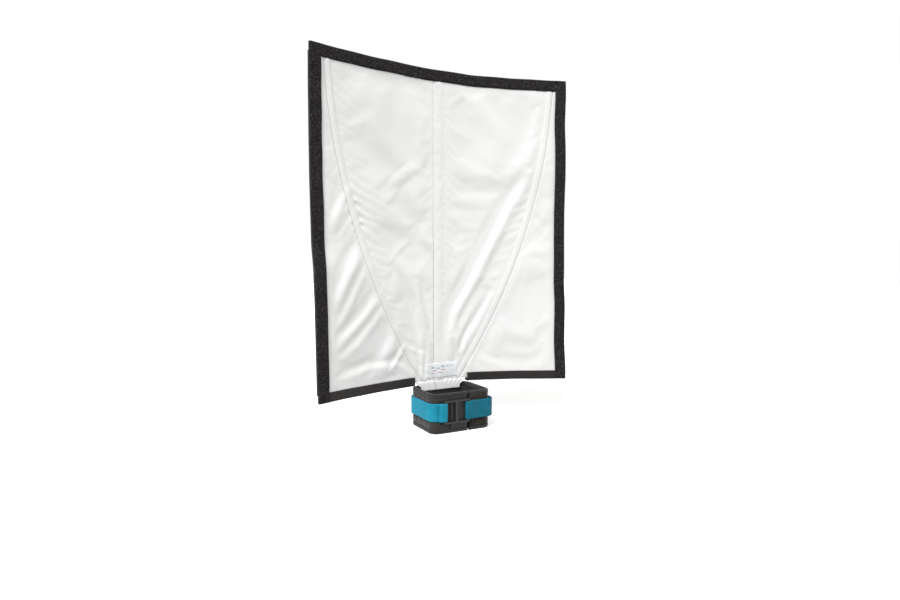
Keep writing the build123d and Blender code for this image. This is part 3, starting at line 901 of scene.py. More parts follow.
def flat_size(key, low_z=BOTTOM, high_z=TOP, span=(-HALF, HALF)):
    low_s, high_s = PIECES[key][:2]
    return min(high_s, span[1]) - max(low_s, span[0]), high_z - low_z


def cloth_area(key):
    width, height = flat_size(key)
    low_s, high_s = PIECES[key][:2]
    open_neck = max(0.0, min(high_s, NECK_HALF) - max(low_s, -NECK_HALF))
    return width * height - open_neck * (NECK_Z - BOTTOM)


def nodes_of(key, *parts):
    """The CAD nodes that a piece of the panel stands for."""
    side = "left" if side_of(key) < 0 else "right"
    strips = [f"{side}_outer"] if "outer" in key else [f"{side}_inner"]
    if key == "right_centre":
        strips.append("centre")
    return [f"{strip}_{part}" for strip in strips for part in parts if f"{strip}_{part}" in frame["nodes"]]


EDGE_INSET = 0.0030                     # the cloth's cut edge hides well inside the tapes' edge
FRONT_CELL, BACK_CELL = 0.0026, 0.0030


def build_cloth():
    for key in PIECES:
        front = sheet_piece(f"front_cloth_{key}", key, (-HALF + EDGE_INSET, HALF - EDGE_INSET),
                            (BOTTOM + EDGE_INSET, TOP - EDGE_INSET), front_lift, FRONT_CELL, WHITE_CLOTH,
                            shape=cloth_shape)
        back = sheet_piece(f"back_cloth_{key}", key, (-HALF, HALF), (BOTTOM, TOP), back_lift, BACK_CELL,
                           BLACK_CLOTH, back=True, shape=back_shape)
        for piece, part in ((front, "front_cloth"), (back, "back_cloth")):
            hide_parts(*nodes_of(key, part))
            flat_size(key)
            cloth_area(key)
            bend_with(piece, key)


def back_shape(bm):
    """Close rows near the cloth's border let it turn forward in a tight curve."""
    for inset in (0.0004, 0.0010, 0.0022):
        for s in (HALF - inset, inset - HALF):
            slit(bm, s=s)
        for z in (TOP - inset, BOTTOM + inset):
            slit(bm, z=z)
    notch(bm)


def pile(width, base, height, across, seed, smooth=False):
    """A tape's height over its own width: woven edges, and a pile between them."""
    def lift_of(s, z):
        t = across(s, z) / (width / 2)
        body = np.clip((1 - np.abs(t)) / 0.14, 0, 1)
        body = body * body * (3 - 2 * body)
        rough = ripple(s, z, 0.0011, seed) * 0.17 + ripple(s, z, 0.0032, seed + 4) * 0.10
        wander = ripple(s, z, 0.03, seed + 8) * 0.16
        if smooth:
            rough = rough * 0.25
        return base + height * body + (rough * (0.25 + 0.75 * body) + wander) * MM
    return lift_of


def wavy(seed, sway, across_s):
    """Lets a tape's edges wander a little, as sewn tape does."""
    def grain(s, z):
        along = z if across_s else s
        wander = np.array([noise.noise(Vector((a * 24, seed, 0))) for a in along]) * sway
        nick = np.array([noise.noise(Vector((a * 520, seed, 3))) for a in along]) * 0.00012
        shift = wander + nick
        return (s + shift, z) if across_s else (s, z + shift)
    return grain


TAPE_BASE, TAPE_PILE = 0.0024, 0.0009
BETWEEN_SIDES = HALF - TAPE_WIDTH + 0.002      # the top and bottom tapes end just under the side tapes
SIDE_BASE = 0.0029                     # the side tapes lie over the ends of the others
HEM_GAP = {-1: 0.0385, 1: 0.0405}      # where the bottom tapes end, at the neck


def build_tapes():
    middle_top = TOP - TAPE_WIDTH / 2
    middle_hem = BOTTOM + HEM_WIDTH / 2
    for key in PIECES:
        side = side_of(key)
        top = sheet_piece(f"top_tape_{key}", key, (-BETWEEN_SIDES, BETWEEN_SIDES),
                          (TOP - TAPE_WIDTH, TOP),
                          pile(TAPE_WIDTH, TAPE_BASE, TAPE_PILE, lambda s, z: z - middle_top, 41.0), 0.0009,
                          LOOP_TAPE, 0.0009, grain=wavy(5.0, 0.0010, False))
        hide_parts(*nodes_of(key, "top_tape"))
        flat_size(key, 0, TAPE_WIDTH, (-BETWEEN_SIDES, BETWEEN_SIDES))
        bend_with(top, key)
        span = (HEM_GAP[1], BETWEEN_SIDES) if side > 0 else (-BETWEEN_SIDES, -HEM_GAP[-1])
        hem = sheet_piece(f"bottom_tape_{key}", key, span, (BOTTOM, BOTTOM + HEM_WIDTH),
                          pile(HEM_WIDTH, TAPE_BASE, 0.0006, lambda s, z: z - middle_hem, 57.0, smooth=True),
                          0.0010, HEM_TAPE, 0.0009, grain=wavy(9.0, 0.0004, False))
        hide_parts(*nodes_of(key, "bottom_tape"))
        flat_size(key, 0, HEM_WIDTH, span)
        bend_with(hem, key)
    for side, name in ((-1, "left"), (1, "right")):
        middle = side * (HALF - TAPE_WIDTH / 2)
        span = tuple(sorted((side * HALF, side * (HALF - TAPE_WIDTH))))
        tape = sheet_piece(f"side_tape_{name}", None, span, (BOTTOM, TOP),
                           pile(TAPE_WIDTH, SIDE_BASE, TAPE_PILE, lambda s, z: s - middle, 71.0 + side),
                           0.0009, LOOP_TAPE, 0.0009, grain=wavy(13.0 + side, 0.0010, True))
        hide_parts(f"{name}_side_tape")
        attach(tape, f"{name}_outer")
    inner = -HALF + TAPE_WIDTH
    hook_pile = pile(TAPE_WIDTH, TAPE_BASE, 0.0007, lambda s, z: s - (inner - TAPE_WIDTH / 2), 91.0)
    hook = sheet_piece("closure_hook_tape_back", None, (-HALF + 0.001, inner), (BOTTOM + 0.008, TOP - 0.008),
                       lambda s, z: -hook_pile(s, z), 0.0010, HOOK_TAPE, 0.0008, back=True)
    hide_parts("closure_hook_tape")
    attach(hook, "left_outer")


CENTRE_FOOT_Z = 0.0575                   # the centre rod comes out of the collar here
ROD_TOP = 0.440
FOOT_SHARE, FOOT_LENGTH = 0.06, 0.0205   # a side rod's straight foot, as a share of the rod and in metres


def rod_line(side, share):
    """A rod's middle line on the flat panel: its points and the direction across it."""
    if side == 0:
        z = CENTRE_FOOT_Z + share * (ROD_TOP - CENTRE_FOOT_Z)
        flat = np.stack([np.full(len(z), CENTRE_CHANNEL_S), z], axis=1)
        return flat, np.tile([1.0, 0.0], (len(z), 1))
    turn = math.atan2(ROD_LOW[1] - ROD_CENTRE[1], ROD_LOW[0] - ROD_CENTRE[0]) % (2 * math.pi)
    top = math.atan2(ROD_TOP - ROD_CENTRE[1], math.sqrt(ROD_RADIUS ** 2 - (ROD_TOP - ROD_CENTRE[1]) ** 2)
                     * np.sign(0.156 - ROD_CENTRE[0])) % (2 * math.pi)
    angle = turn + (top - turn) * np.clip((share - FOOT_SHARE) / (1 - FOOT_SHARE), 0, 1)
    out = np.stack([np.cos(angle), np.sin(angle)], axis=1)
    flat = ROD_CENTRE + ROD_RADIUS * out
    straight = np.array(ROD_LOW) + np.outer((share - FOOT_SHARE) / FOOT_SHARE * FOOT_LENGTH, ROD_HEADING)
    flat = np.where((share < FOOT_SHARE)[:, None], straight, flat)
    return flat * [side, 1], out * [side, 1]


def flat_tube(side, share_range, half_out, half_lift, lift, cells):
    """A closed tube round a rod's line, in flat coordinates: s, z and lift."""
    bm = bmesh.new()
    bmesh.ops.create_grid(bm, x_segments=cells[0], y_segments=cells[1], size=0.5)
    co = coordinates(bm) + 0.5
    share = share_range[0] + co[:, 0] * (share_range[1] - share_range[0])
    turn = co[:, 1] * 2 * math.pi
    flat, across = rod_line(side, share)
    taper = np.ones(len(share))
    if share_range[1] > 1.001:                # a moulded tip is rounded at both ends
        taper = np.clip(1 - np.abs(2 * co[:, 0] - 1) ** 6, 0.05, 1) ** 0.5
    flat = flat + across * (np.cos(turn) * half_out * taper)[:, None]
    height = lift + np.sin(turn) * half_lift * taper
    move_to(bm, np.column_stack([flat, height]))
    bmesh.ops.remove_doubles(bm, verts=bm.verts, dist=1e-6)
    bmesh.ops.holes_fill(bm, edges=[e for e in bm.edges if e.is_boundary], sides=0)
    bmesh.ops.recalc_face_normals(bm, faces=bm.faces)
    return bm


def trim_closed(bm, s, keep_more):
    """Cuts a closed flat shape at one s and closes it again."""
    slit(bm, s=s, clear_inner=keep_more, clear_outer=not keep_more)
    bmesh.ops.holes_fill(bm, edges=[e for e in bm.edges if e.is_boundary], sides=0)


def finish_flat(name, bm, material):
    """Stands a closed shape given as s, z and lift on the panel."""
    co = coordinates(bm)
    move_to(bm, stand(co[:, 0], co[:, 1], co[:, 2]))
    bmesh.ops.recalc_face_normals(bm, faces=bm.faces)
    piece = make_object(name, bm, material)
    return piece


ROD_LIFT = 0.0006
WIRE_RADIUS = 0.001
TIP_HALF = (0.003, 0.0013)              # a moulded tip's half width and half height


def build_rods():
    bm = flat_tube(0, (0, 1), WIRE_RADIUS, WIRE_RADIUS, ROD_LIFT, (90, 12))
    wire = finish_flat("centre_rod_wire", bm, WIRE)
    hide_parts("centre_rod")
    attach(wire, "panel_centre")
    bm = flat_tube(0, (0.985, 1.013), *TIP_HALF, ROD_LIFT, (14, 16))
    tip = finish_flat("centre_rod_tip", bm, ROD_TIP)
    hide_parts("centre_rod_cap")
    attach(tip, "panel_centre")
    for side, name in ((-1, "left"), (1, "right")):
        for part, key in (("lower", f"{name}_centre"), ("upper", f"{name}_outer")):
            bm = flat_tube(side, (0, 1), WIRE_RADIUS, WIRE_RADIUS, ROD_LIFT, (150, 12))
            trim_closed(bm, side * SPLIT, keep_more=(side > 0) == (part == "upper"))
            wire = finish_flat(f"{name}_rod_{part}_wire", bm, WIRE)
            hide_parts(*([f"{name}_rod_lower", f"{name}_rod_middle"] if part == "lower"
                                else [f"{name}_rod_upper"]))
            bend_with(wire, key)
        bm = flat_tube(side, (0.986, 1.012), *TIP_HALF, ROD_LIFT, (14, 16))
        tip = finish_flat(f"{name}_rod_tip", bm, ROD_TIP)
        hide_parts(f"{name}_rod_cap")
        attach(tip, f"{name}_outer")


# ---- neck and label ---------------------------------------------------------------------------------
NECK_FRONT, NECK_BACK = 0.0388, 0.0382  # half the neck's width, in its front and its back cloth


def neck_ripple(s, z, size):
    """Gathers where the cloth is drawn into the collar."""
    near = np.exp(-((z - 0.054) / 0.006) ** 2)
    wave = np.sin(s * 2 * math.pi / 0.0072 + 2.2 * ripple(s, z, 0.02, 61.0))
    return size * MM * near * wave * (0.5 + 0.5 * ripple(s, z, 0.015, 66.0))


def narrow_to_collar(top_half, rim_half, low_half):
    """Draws the neck in from the tapes' ends to the collar's rim, and on down inside the collar."""
    def grain(s, z):
        half = np.interp(z, (0.0470, 0.0515, 0.0565), (low_half, rim_half, top_half))
        return s * half / top_half, z
    return grain


def front_neck_lift(s, z):
    t = np.clip((0.0585 - z) / 0.0075, 0, 1)
    t = t * t * (3 - 2 * t)
    return 0.0014 + t * 0.0017 + neck_ripple(s, z, 0.7)


def back_neck_lift(s, z):
    t = np.clip((0.0575 - z) / 0.0055, 0, 1)
    t = t * t * (3 - 2 * t)
    edge = np.clip((NECK_BACK - np.abs(s)) / 0.0022, 0, 1)
    open_edge = 1 - np.clip((z - 0.0520) / 0.003, 0, 1) * (1 - np.sqrt(edge))
    return (-0.0020 - t * 0.0012 + neck_ripple(s, z, 0.35)) * open_edge + 0.0012 * (1 - open_edge)


def build_neck():
    front = sheet_piece("neck_front_cloth", None, (-NECK_FRONT, NECK_FRONT), (0.0420, 0.0600),
                        front_neck_lift, 0.0011, WHITE_CLOTH,
                        grain=narrow_to_collar(NECK_FRONT, 0.0355, 0.0290))
    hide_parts("neck_facing")
    back = sheet_piece("neck_back_cloth", None, (-NECK_BACK, NECK_BACK), (0.0060, 0.0600),
                       back_neck_lift, 0.0012, BLACK_CLOTH, back=True,
                       grain=narrow_to_collar(NECK_BACK, 0.0325, 0.0290))
    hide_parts("neck_tab")
    for piece, flat in ((front, (2 * NECK_FRONT, 0.018)), (back, (2 * NECK_BACK, 0.054))):
        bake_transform(piece)


LABEL_S = (low("care_label").x, high("care_label").x)
LABEL_Z = (low("care_label").z, high("care_label").z)


def label_lift(s, z):
    smooth = HALF_THICK + 0.0012 + 0.35 * MM * ripple(s, z, 0.018, 77.0)
    edge = np.minimum(np.minimum(s - LABEL_S[0], LABEL_S[1] - s), np.minimum(z - LABEL_Z[0], LABEL_Z[1] - z))
    base = front_lift(s, z) + 0.0003
    share = np.clip(edge / 0.005, 0, 1) * 0.5
    return np.maximum(base, base * (1 - share) + smooth * share)


def build_label():
    label = sheet_piece("neck_label", None, LABEL_S, LABEL_Z, label_lift, 0.0011, LABEL_CLOTH,
                        0.0003)
    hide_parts("care_label")
    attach(label, "panel_centre")


# ---- collar -----------------------------------------------------------------------------------------
def round_rectangle(half_x, half_y, corner, way):
    """Points and outward directions round a rounded rectangle, from the middle of its -y side towards +x."""
    a, b, quarter = half_x - corner, half_y - corner, corner * math.pi / 2
    ends = np.cumsum([0, a, quarter, 2 * b, quarter, 2 * a, quarter, 2 * b, quarter, a])
    way = np.mod(way, ends[-1])
    run = np.clip(np.searchsorted(ends, way, side="right") - 1, 0, 8)
    t = way - ends[run]
    starts = np.array([(0, -half_y), (a, -b), (half_x, -b), (a, b), (a, half_y), (-a, b), (-half_x, b),
                       (-a, -b), (-a, -half_y)])[run]
    arc = run % 2 == 1
    angle = (run // 2) * math.pi / 2 + np.where(arc, t / corner, 0)
    outward = np.stack([np.sin(angle), -np.cos(angle)], axis=1)
    travel = np.stack([np.cos(angle), np.sin(angle)], axis=1)
    return starts + np.where(arc[:, None], corner * outward, t[:, None] * travel), outward


def round_length(half_x, half_y, corner):
    return 4 * (half_x + half_y - 2 * corner) + 2 * math.pi * corner


WALL = (COLLAR_X - 0.002, COLLAR_Y - 0.002, COLLAR_CORNER - 0.002)      # the middle of the padded wall
WALL_LENGTH = round_length(*WALL)


def on_collar(way, out, z):
    """Points round the collar: way along its wall from the front's middle, out from the wall's middle."""
    points, outward = round_rectangle(*WALL, way)
    return np.column_stack([points + outward * out[:, None], z])


def sweep(name, material, length, section, place, cells):
    """A closed strip: place() puts each share along it, and each point of its section, in space."""
    half_out, half_z, corner = section
    around = round_length(half_out, half_z, corner)
    bm = bmesh.new()
    bmesh.ops.create_grid(bm, x_segments=cells[0], y_segments=cells[1], size=0.5)
    bmesh.ops.translate(bm, vec=(0.5, 0.5, 0), verts=bm.verts)
    bmesh.ops.scale(bm, vec=(length, around, 1), verts=bm.verts)
    keep_uv(bm)
    co = coordinates(bm)
    profile, _ = round_rectangle(half_out, half_z, corner, np.minimum(co[:, 1], around * (1 - 1e-9)))
    move_to(bm, place(co[:, 0], profile[:, 0], profile[:, 1]))
    bmesh.ops.remove_doubles(bm, verts=bm.verts, dist=2e-6)
    bmesh.ops.holes_fill(bm, edges=[e for e in bm.edges if e.is_boundary], sides=0)
    bmesh.ops.recalc_face_normals(bm, faces=bm.faces)
    piece = make_object(name, bm, material)
    return piece


def bump_at(x, middle, width):
    return np.exp(-((x - middle) / width) ** 2)


COLLAR_WAY = (GAP_RIGHT, WALL_LENGTH + GAP_LEFT)
GUSSET_TUCK = 0.0030                     # how far the gusset runs in behind each end of the collar


def drape(way, z):
    """How much the padded wall swells above and below the strap, with pulls at its corners."""
    swell = 0.5 * bump_at(z, 0.0095, 0.0045) + 0.55 * bump_at(z, 0.0425, 0.0040)
    pulls = ripple(way, z * 0.35, 0.009, 101.0) * 0.22 + ripple(way, z, 0.024, 104.0) * 0.30
    pulls += ripple(way * 0.6 + z * 0.5, z, 0.006, 108.0) * 0.12
    return (swell + pulls * (0.4 + swell)) * MM


def settle_pad(pad):
    """Puffs the pad's outer cloth out where neither the strap, the rims nor the lining hold it."""
    points = np.array([v.co for v in pad.data.vertices], float)
    bm = bmesh.new()
    bm.from_mesh(pad.data)
    z = points[:, 2]
    beyond_wall = np.maximum(np.abs(points[:, 0]) - WALL[0], np.abs(points[:, 1]) - WALL[1])
    on_outside = np.clip(beyond_wall / 0.0008, 0, 1)
    free = np.minimum(np.clip((z - 0.0058) / 0.003, 0, 1), np.clip((COLLAR_TOP - 0.0058 - z) / 0.003, 0, 1))
    under_strap = np.clip((z - STRAP_Z[0]) / 0.003, 0, 1) * np.clip((STRAP_Z[1] - z) / 0.003, 0, 1)
    moved = relax("settling_pad", bm, points, 1 - on_outside * free * (1 - under_strap), 0.0006,
                  quality=6, mass=0.2, tension_stiffness=20, compression_stiffness=20, shear_stiffness=10,
                  bending_stiffness=0.05, air_damping=2, shrink_min=-0.04,
                  use_pressure=True, uniform_pressure_force=4.0)
    for vertex, place in zip(pad.data.vertices, points + moved):
        vertex.co = place


def build_collar():
    span = COLLAR_WAY[1] - COLLAR_WAY[0]

    def pad_place(way, out, z):
        way = way + COLLAR_WAY[0]
        z = z * 0.985 + COLLAR_TOP / 2 - 0.0004
        outside = np.clip(out / 0.0010, 0, 1)
        slump = 0.35 * MM * ripple(way, z * 0, 0.05, 111.0)
        return on_collar(way, out + 0.0005 + outside * (drape(way, z) - 0.0002), z + slump)

    pad = sweep("collar_pad", COLLAR_CLOTH, span, (0.0014, COLLAR_TOP / 2 - 0.0010, 0.0012),
                pad_place, (150, 64))
    settle_pad(pad)
    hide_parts("collar_band", "collar_core")

    def lining_place(way, out, z):
        way = way + COLLAR_WAY[0]
        z = z + COLLAR_TOP / 2
        dimple = 0.12 * MM * ripple(way, z, 0.012, 117.0) * (out < 0)
        return on_collar(way, out - 0.0015 + dimple, z)

    lining = sweep("collar_grip_lining", GRIP_LINING, span - 0.0006,
                   (0.0005, COLLAR_TOP / 2 - 0.0018, 0.0004), lining_place, (140, 56))
    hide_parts("collar_lining")
    pieces = [pad, lining]
    for name, middle, seed in (("top", COLLAR_TOP - 0.0038, 121.0), ("bottom", 0.0026, 127.0)):
        def rim_place(way, out, z, middle=middle, seed=seed):
            way = way + COLLAR_WAY[0] - 0.0003
            wander = 0.22 * MM * ripple(way, z * 0, 0.02, seed)
            curl = 0.20 * MM * ripple(way, z, 0.007, seed + 2)
            face = np.abs(z) < 0.0020
            inner_edge = z * (middle - 0.02) < 0
            return on_collar(way, out + np.where(face, curl, 0), z + middle + np.where(inner_edge, wander, 0))
        rim = sweep(f"collar_{name}_rim", BINDING, span + 0.0006, (0.0026, 0.0026, 0.0016),
                    rim_place, (170, 22))
        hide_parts(f"collar_{name}_binding")
        pieces.append(rim)
    for name, low_way, high_way, lift, material, slot in (
            ("collar_flap_tab", WALL_LENGTH - 0.0175, WALL_LENGTH + GAP_LEFT - 0.0004, 0.0006, HOOK_TAPE,
             "hook_tape"),
            ("collar_loop_patch", GAP_RIGHT + 0.0004, 0.0330, 0.0004, COLLAR_PILE, "loop_tape")):
        def patch_place(way, out, z, low_way=low_way, lift=lift, name=name):
            way = way + low_way
            z = z + COLLAR_TOP / 2
            if "loop" in name:
                rough = 0.14 * ripple(way, z, 0.0012, 131.0)
            else:
                rough = 0.05 * ripple(way, z, 0.004, 133.0)
            return on_collar(way, out + 0.0021 + lift + drape(way, z) * 0.55 + rough * MM * (out > 0), z)
        patch = sweep(name, material, high_way - low_way, (0.00035, COLLAR_TOP / 2 - 0.0050, 0.0003),
                      patch_place, (30, 80))
        pieces.append(patch)
    for piece in pieces:
        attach(piece, "collar")
    gusset_span = GAP_RIGHT - GAP_LEFT + 2 * GUSSET_TUCK

    def gusset_place(way, out, z):
        slack = 0.5 * MM * np.sin(np.clip(way / gusset_span, 0, 1) * math.pi)
        wrinkle = 0.15 * MM * ripple(way, z, 0.008, 171.0)
        way = way + GAP_LEFT - GUSSET_TUCK
        return on_collar(way, out - 0.0028 - slack + wrinkle, z + COLLAR_TOP / 2 - 0.0004)

    gusset = sweep("collar_gap_gusset", BINDING, gusset_span,
                   (0.0003, COLLAR_TOP / 2 - 0.0010, 0.00025), gusset_place, (28, 70))
    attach(gusset, "collar")


# ---- straps -----------------------------------------------------------------------------------------
def route(points, radii):
    """A strap's run on plan: straight runs joined by tangent arcs, as close points."""
    points = [Vector(p) for p in points]
    run = [points[0]]
    for before, corner, after, radius in zip(points, points[1:], points[2:], radii):
        back, ahead = (before - corner).normalized(), (after - corner).normalized()
        half = back.angle(ahead) / 2
        reach = radius / math.tan(half)
        centre = corner + (back + ahead).normalized() * (radius / math.sin(half))
        first, last = corner + back * reach - centre, corner + ahead * reach - centre
        turn = first.angle_signed(last)
        steps = max(4, int(abs(turn) * 8))
        for i in range(steps + 1):
            angle = -turn * i / steps
            c, s = math.cos(angle), math.sin(angle)
            run.append(centre + Vector((first.x * c - first.y * s, first.x * s + first.y * c)))
    run.append(points[-1])
    return np.array(run)


def strap(name, points, radii, thickness, z_range, seed, cells_per_mm=1.0, outside=1, material=None,
          slack=0.25):
    line = route(points, radii)
    lengths = np.concatenate([[0], np.cumsum(np.hypot(*np.diff(line, axis=0).T))])
    total = lengths[-1]
    middle = (z_range[0] + z_range[1]) / 2

    def place(way, out, z):
        x, y = np.interp(way, lengths, line[:, 0]), np.interp(way, lengths, line[:, 1])
        step = 0.0004
        ax, ay = np.interp(way - step, lengths, line[:, 0]), np.interp(way - step, lengths, line[:, 1])
        bx, by = np.interp(way + step, lengths, line[:, 0]), np.interp(way + step, lengths, line[:, 1])
        tx, ty = bx - ax, by - ay
        size = np.hypot(tx, ty)
        nx, ny = ty / size * outside, -tx / size * outside
        bow = slack * MM * (ripple(way, z, 0.022, seed) * 0.7 + ripple(way, z * 0, 0.05, seed + 3))
        ends = np.clip(np.minimum(way, total - way) / 0.008, 0, 1)
        out = out + bow * ends
        sway = 0.4 * MM * ripple(way, z * 0, 0.045, seed + 5) * ends
        return np.column_stack([x + nx * out, y + ny * out, z + middle + sway])

    cells = (max(12, int(total / MM * cells_per_mm)), 44)
    return sweep(name, material or WEBBING, total,
                 (thickness / 2, (z_range[1] - z_range[0]) / 2, thickness * 0.42), place, cells)


def build_straps():
    thick = 0.0014
    half = thick / 2
    right_box, tail_box = (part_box(n) for n in ("strap_right", "strap_tail"))
    buckle_low, buckle_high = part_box("buckle")
    side_x = right_box[1].x - half
    back_y = right_box[1].y - half
    loop_y = right_box[0].y + half
    front_y = -(COLLAR_Y + 0.00015 + half)
    corner = COLLAR_CORNER + 0.00015 + half
    loop_radius = (front_y - loop_y) / 2 - 0.00015
    left_turn = buckle_low.x + 0.0040 + 0.0006 + half
    right_turn = buckle_high.x - 0.0040 - 0.0006 - half
    hinge_x = JOINT["tail_peel"]["pos_m"][0]
    # the left strap wears the painted lit copy of the webbing
    left = strap("strap_left_webbing",
                 [(-0.0006, back_y), (-side_x, back_y), (-side_x, front_y), (left_turn, front_y),
                  (left_turn, loop_y), (buckle_low.x - 0.0012, loop_y),
                  (buckle_low.x - 0.0055, loop_y + 0.0020)],
                 [corner, corner, loop_radius, loop_radius, 0.0020], thick, STRAP_Z, 141.0, outside=-1,
                 material=WEBBING_PAINTED_LIT)
    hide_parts("strap_left")
    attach(left, "collar")
    right = strap("strap_right_webbing",
                  [(0.0006, back_y), (side_x, back_y), (side_x, front_y), (right_turn, front_y),
                   (right_turn, loop_y), (hinge_x - 0.0002, loop_y)],
                  [corner, corner, loop_radius, loop_radius], thick, STRAP_Z, 147.0)
    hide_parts("strap_right")
    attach(right, "collar")
    tail_y = low("tail_hook_pad").y - half
    tail_x = tail_box[1].x - half
    tail = strap("strap_tail_webbing",
                 [(hinge_x - 0.0012, loop_y), (hinge_x + 0.0050, loop_y), (hinge_x + 0.0100, tail_y),
                  (tail_x, tail_y), (tail_x, tail_box[1].y)],
                 [0.0030, 0.0060, corner], thick, STRAP_Z, 153.0)
    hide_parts("strap_tail")
    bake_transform(tail)
    hook_low, hook_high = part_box("tail_hook_pad")
    hook_y = (hook_low.y + hook_high.y) / 2
    hook = strap("tail_hook_strip", [(hook_low.x, hook_y), (hook_high.x, hook_y)], [],
                 hook_high.y - hook_low.y, (hook_low.z, hook_high.z), 159.0, material=HOOK_TAPE,
                 slack=0.0)
    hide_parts("tail_hook_pad")
    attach(hook, "tail")
    grip_low, grip_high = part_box("tail_grip_tab")
    grip_x = (grip_low.x + grip_high.x) / 2
    grip = strap("tail_grip_end", [(grip_x, grip_low.y), (grip_x, grip_high.y)], [], grip_high.x - grip_low.x,
                 (grip_low.z, grip_high.z), 163.0, cells_per_mm=2.0, material=BINDING,
                 slack=0.0)
    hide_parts("tail_grip_tab")
    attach(grip, "tail")
    patch_low, patch_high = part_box("strap_anchor_patch")
    patch_y = (patch_low.y + patch_high.y) / 2
    patch = strap("strap_anchor_pad", [(patch_low.x, patch_y), (patch_high.x, patch_y)], [],
                  patch_high.y - patch_low.y, (patch_low.z, patch_high.z), 167.0, cells_per_mm=1.6,
                  material=BINDING, slack=0.0)
    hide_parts("strap_anchor_patch")
    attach(patch, "collar")
    for node, material in (("buckle", PLASTIC), ("rod_feet", WIRE)):
        frame["nodes"][node].data.materials.clear()
        frame["nodes"][node].data.materials.append(material)


# ---- stitches ---------------------------------------------------------------------------------------
def along_line(points, pitch, length):
    """Where each stitch of a row lies, and which way it points, on flat coordinates."""
    points = np.array(points, float)
    run = np.concatenate([[0], np.cumsum(np.hypot(*np.diff(points[:, :2], axis=0).T))])
    at = np.arange(pitch / 2, run[-1] - length / 2, pitch)
    middle = [np.interp(at, run, points[:, i]) for i in (0, 1)]
    ahead = [np.interp(np.minimum(at + length / 2, run[-1]), run, points[:, i]) for i in (0, 1)]
    return zip(middle[0], middle[1], ahead[0] - middle[0], ahead[1] - middle[1])


def sew(bm, points, lift_of, pitch=0.0030, length=0.0022, width=0.00042, keep=None):
    """Adds a row of stitches in flat coordinates."""
    rows = [(a, b, math.atan2(tb, ta)) for a, b, ta, tb in along_line(points, pitch, length)]
    if keep:
        rows = [r for r in rows if keep[0] < r[0] < keep[1]]
    if not rows:
        return
    lifts = lift_of(np.array([r[0] for r in rows]), np.array([r[1] for r in rows]))
    for (a, b, turn), lift in zip(rows, lifts):
        at = Matrix.Translation((a, b, lift)) @ Matrix.Rotation(turn, 4, "Z")
        bmesh.ops.create_icosphere(bm, subdivisions=1, radius=1,
                                   matrix=at @ Matrix.Diagonal((length / 2, width / 2, width * 0.42, 1)))


def seam_line(side, offset):
    share = np.linspace(0.03, 0.985, 160)
    flat, across = rod_line(side, share)
    return flat + across * offset


def centre_seam(side):
    z = np.linspace(0.060, TOP - TAPE_WIDTH + 0.002, 60)
    return np.column_stack([np.full(60, CENTRE_CHANNEL_S + side * CENTRE_CHANNEL), z])


def tape_rows():
    """The rows that sew the tapes down: their lines, and the height of each."""
    rows = []
    for z in (TOP - 0.0013, TOP - TAPE_WIDTH + 0.0013):
        rows.append(([(-HALF + TAPE_WIDTH, z), (HALF - TAPE_WIDTH, z)], TAPE_BASE + 0.0003))
    for side in (-1, 1):
        for s in (HALF - 0.0013, HALF - TAPE_WIDTH + 0.0013):
            rows.append(([(side * s, BOTTOM + 0.001), (side * s, TOP - 0.001)], SIDE_BASE + 0.0003))
        for z in (BOTTOM + 0.0012, BOTTOM + HEM_WIDTH - 0.0012):
            rows.append(([(side * HEM_GAP[side], z), (side * (HALF - TAPE_WIDTH), z)], TAPE_BASE + 0.0003))
    return rows


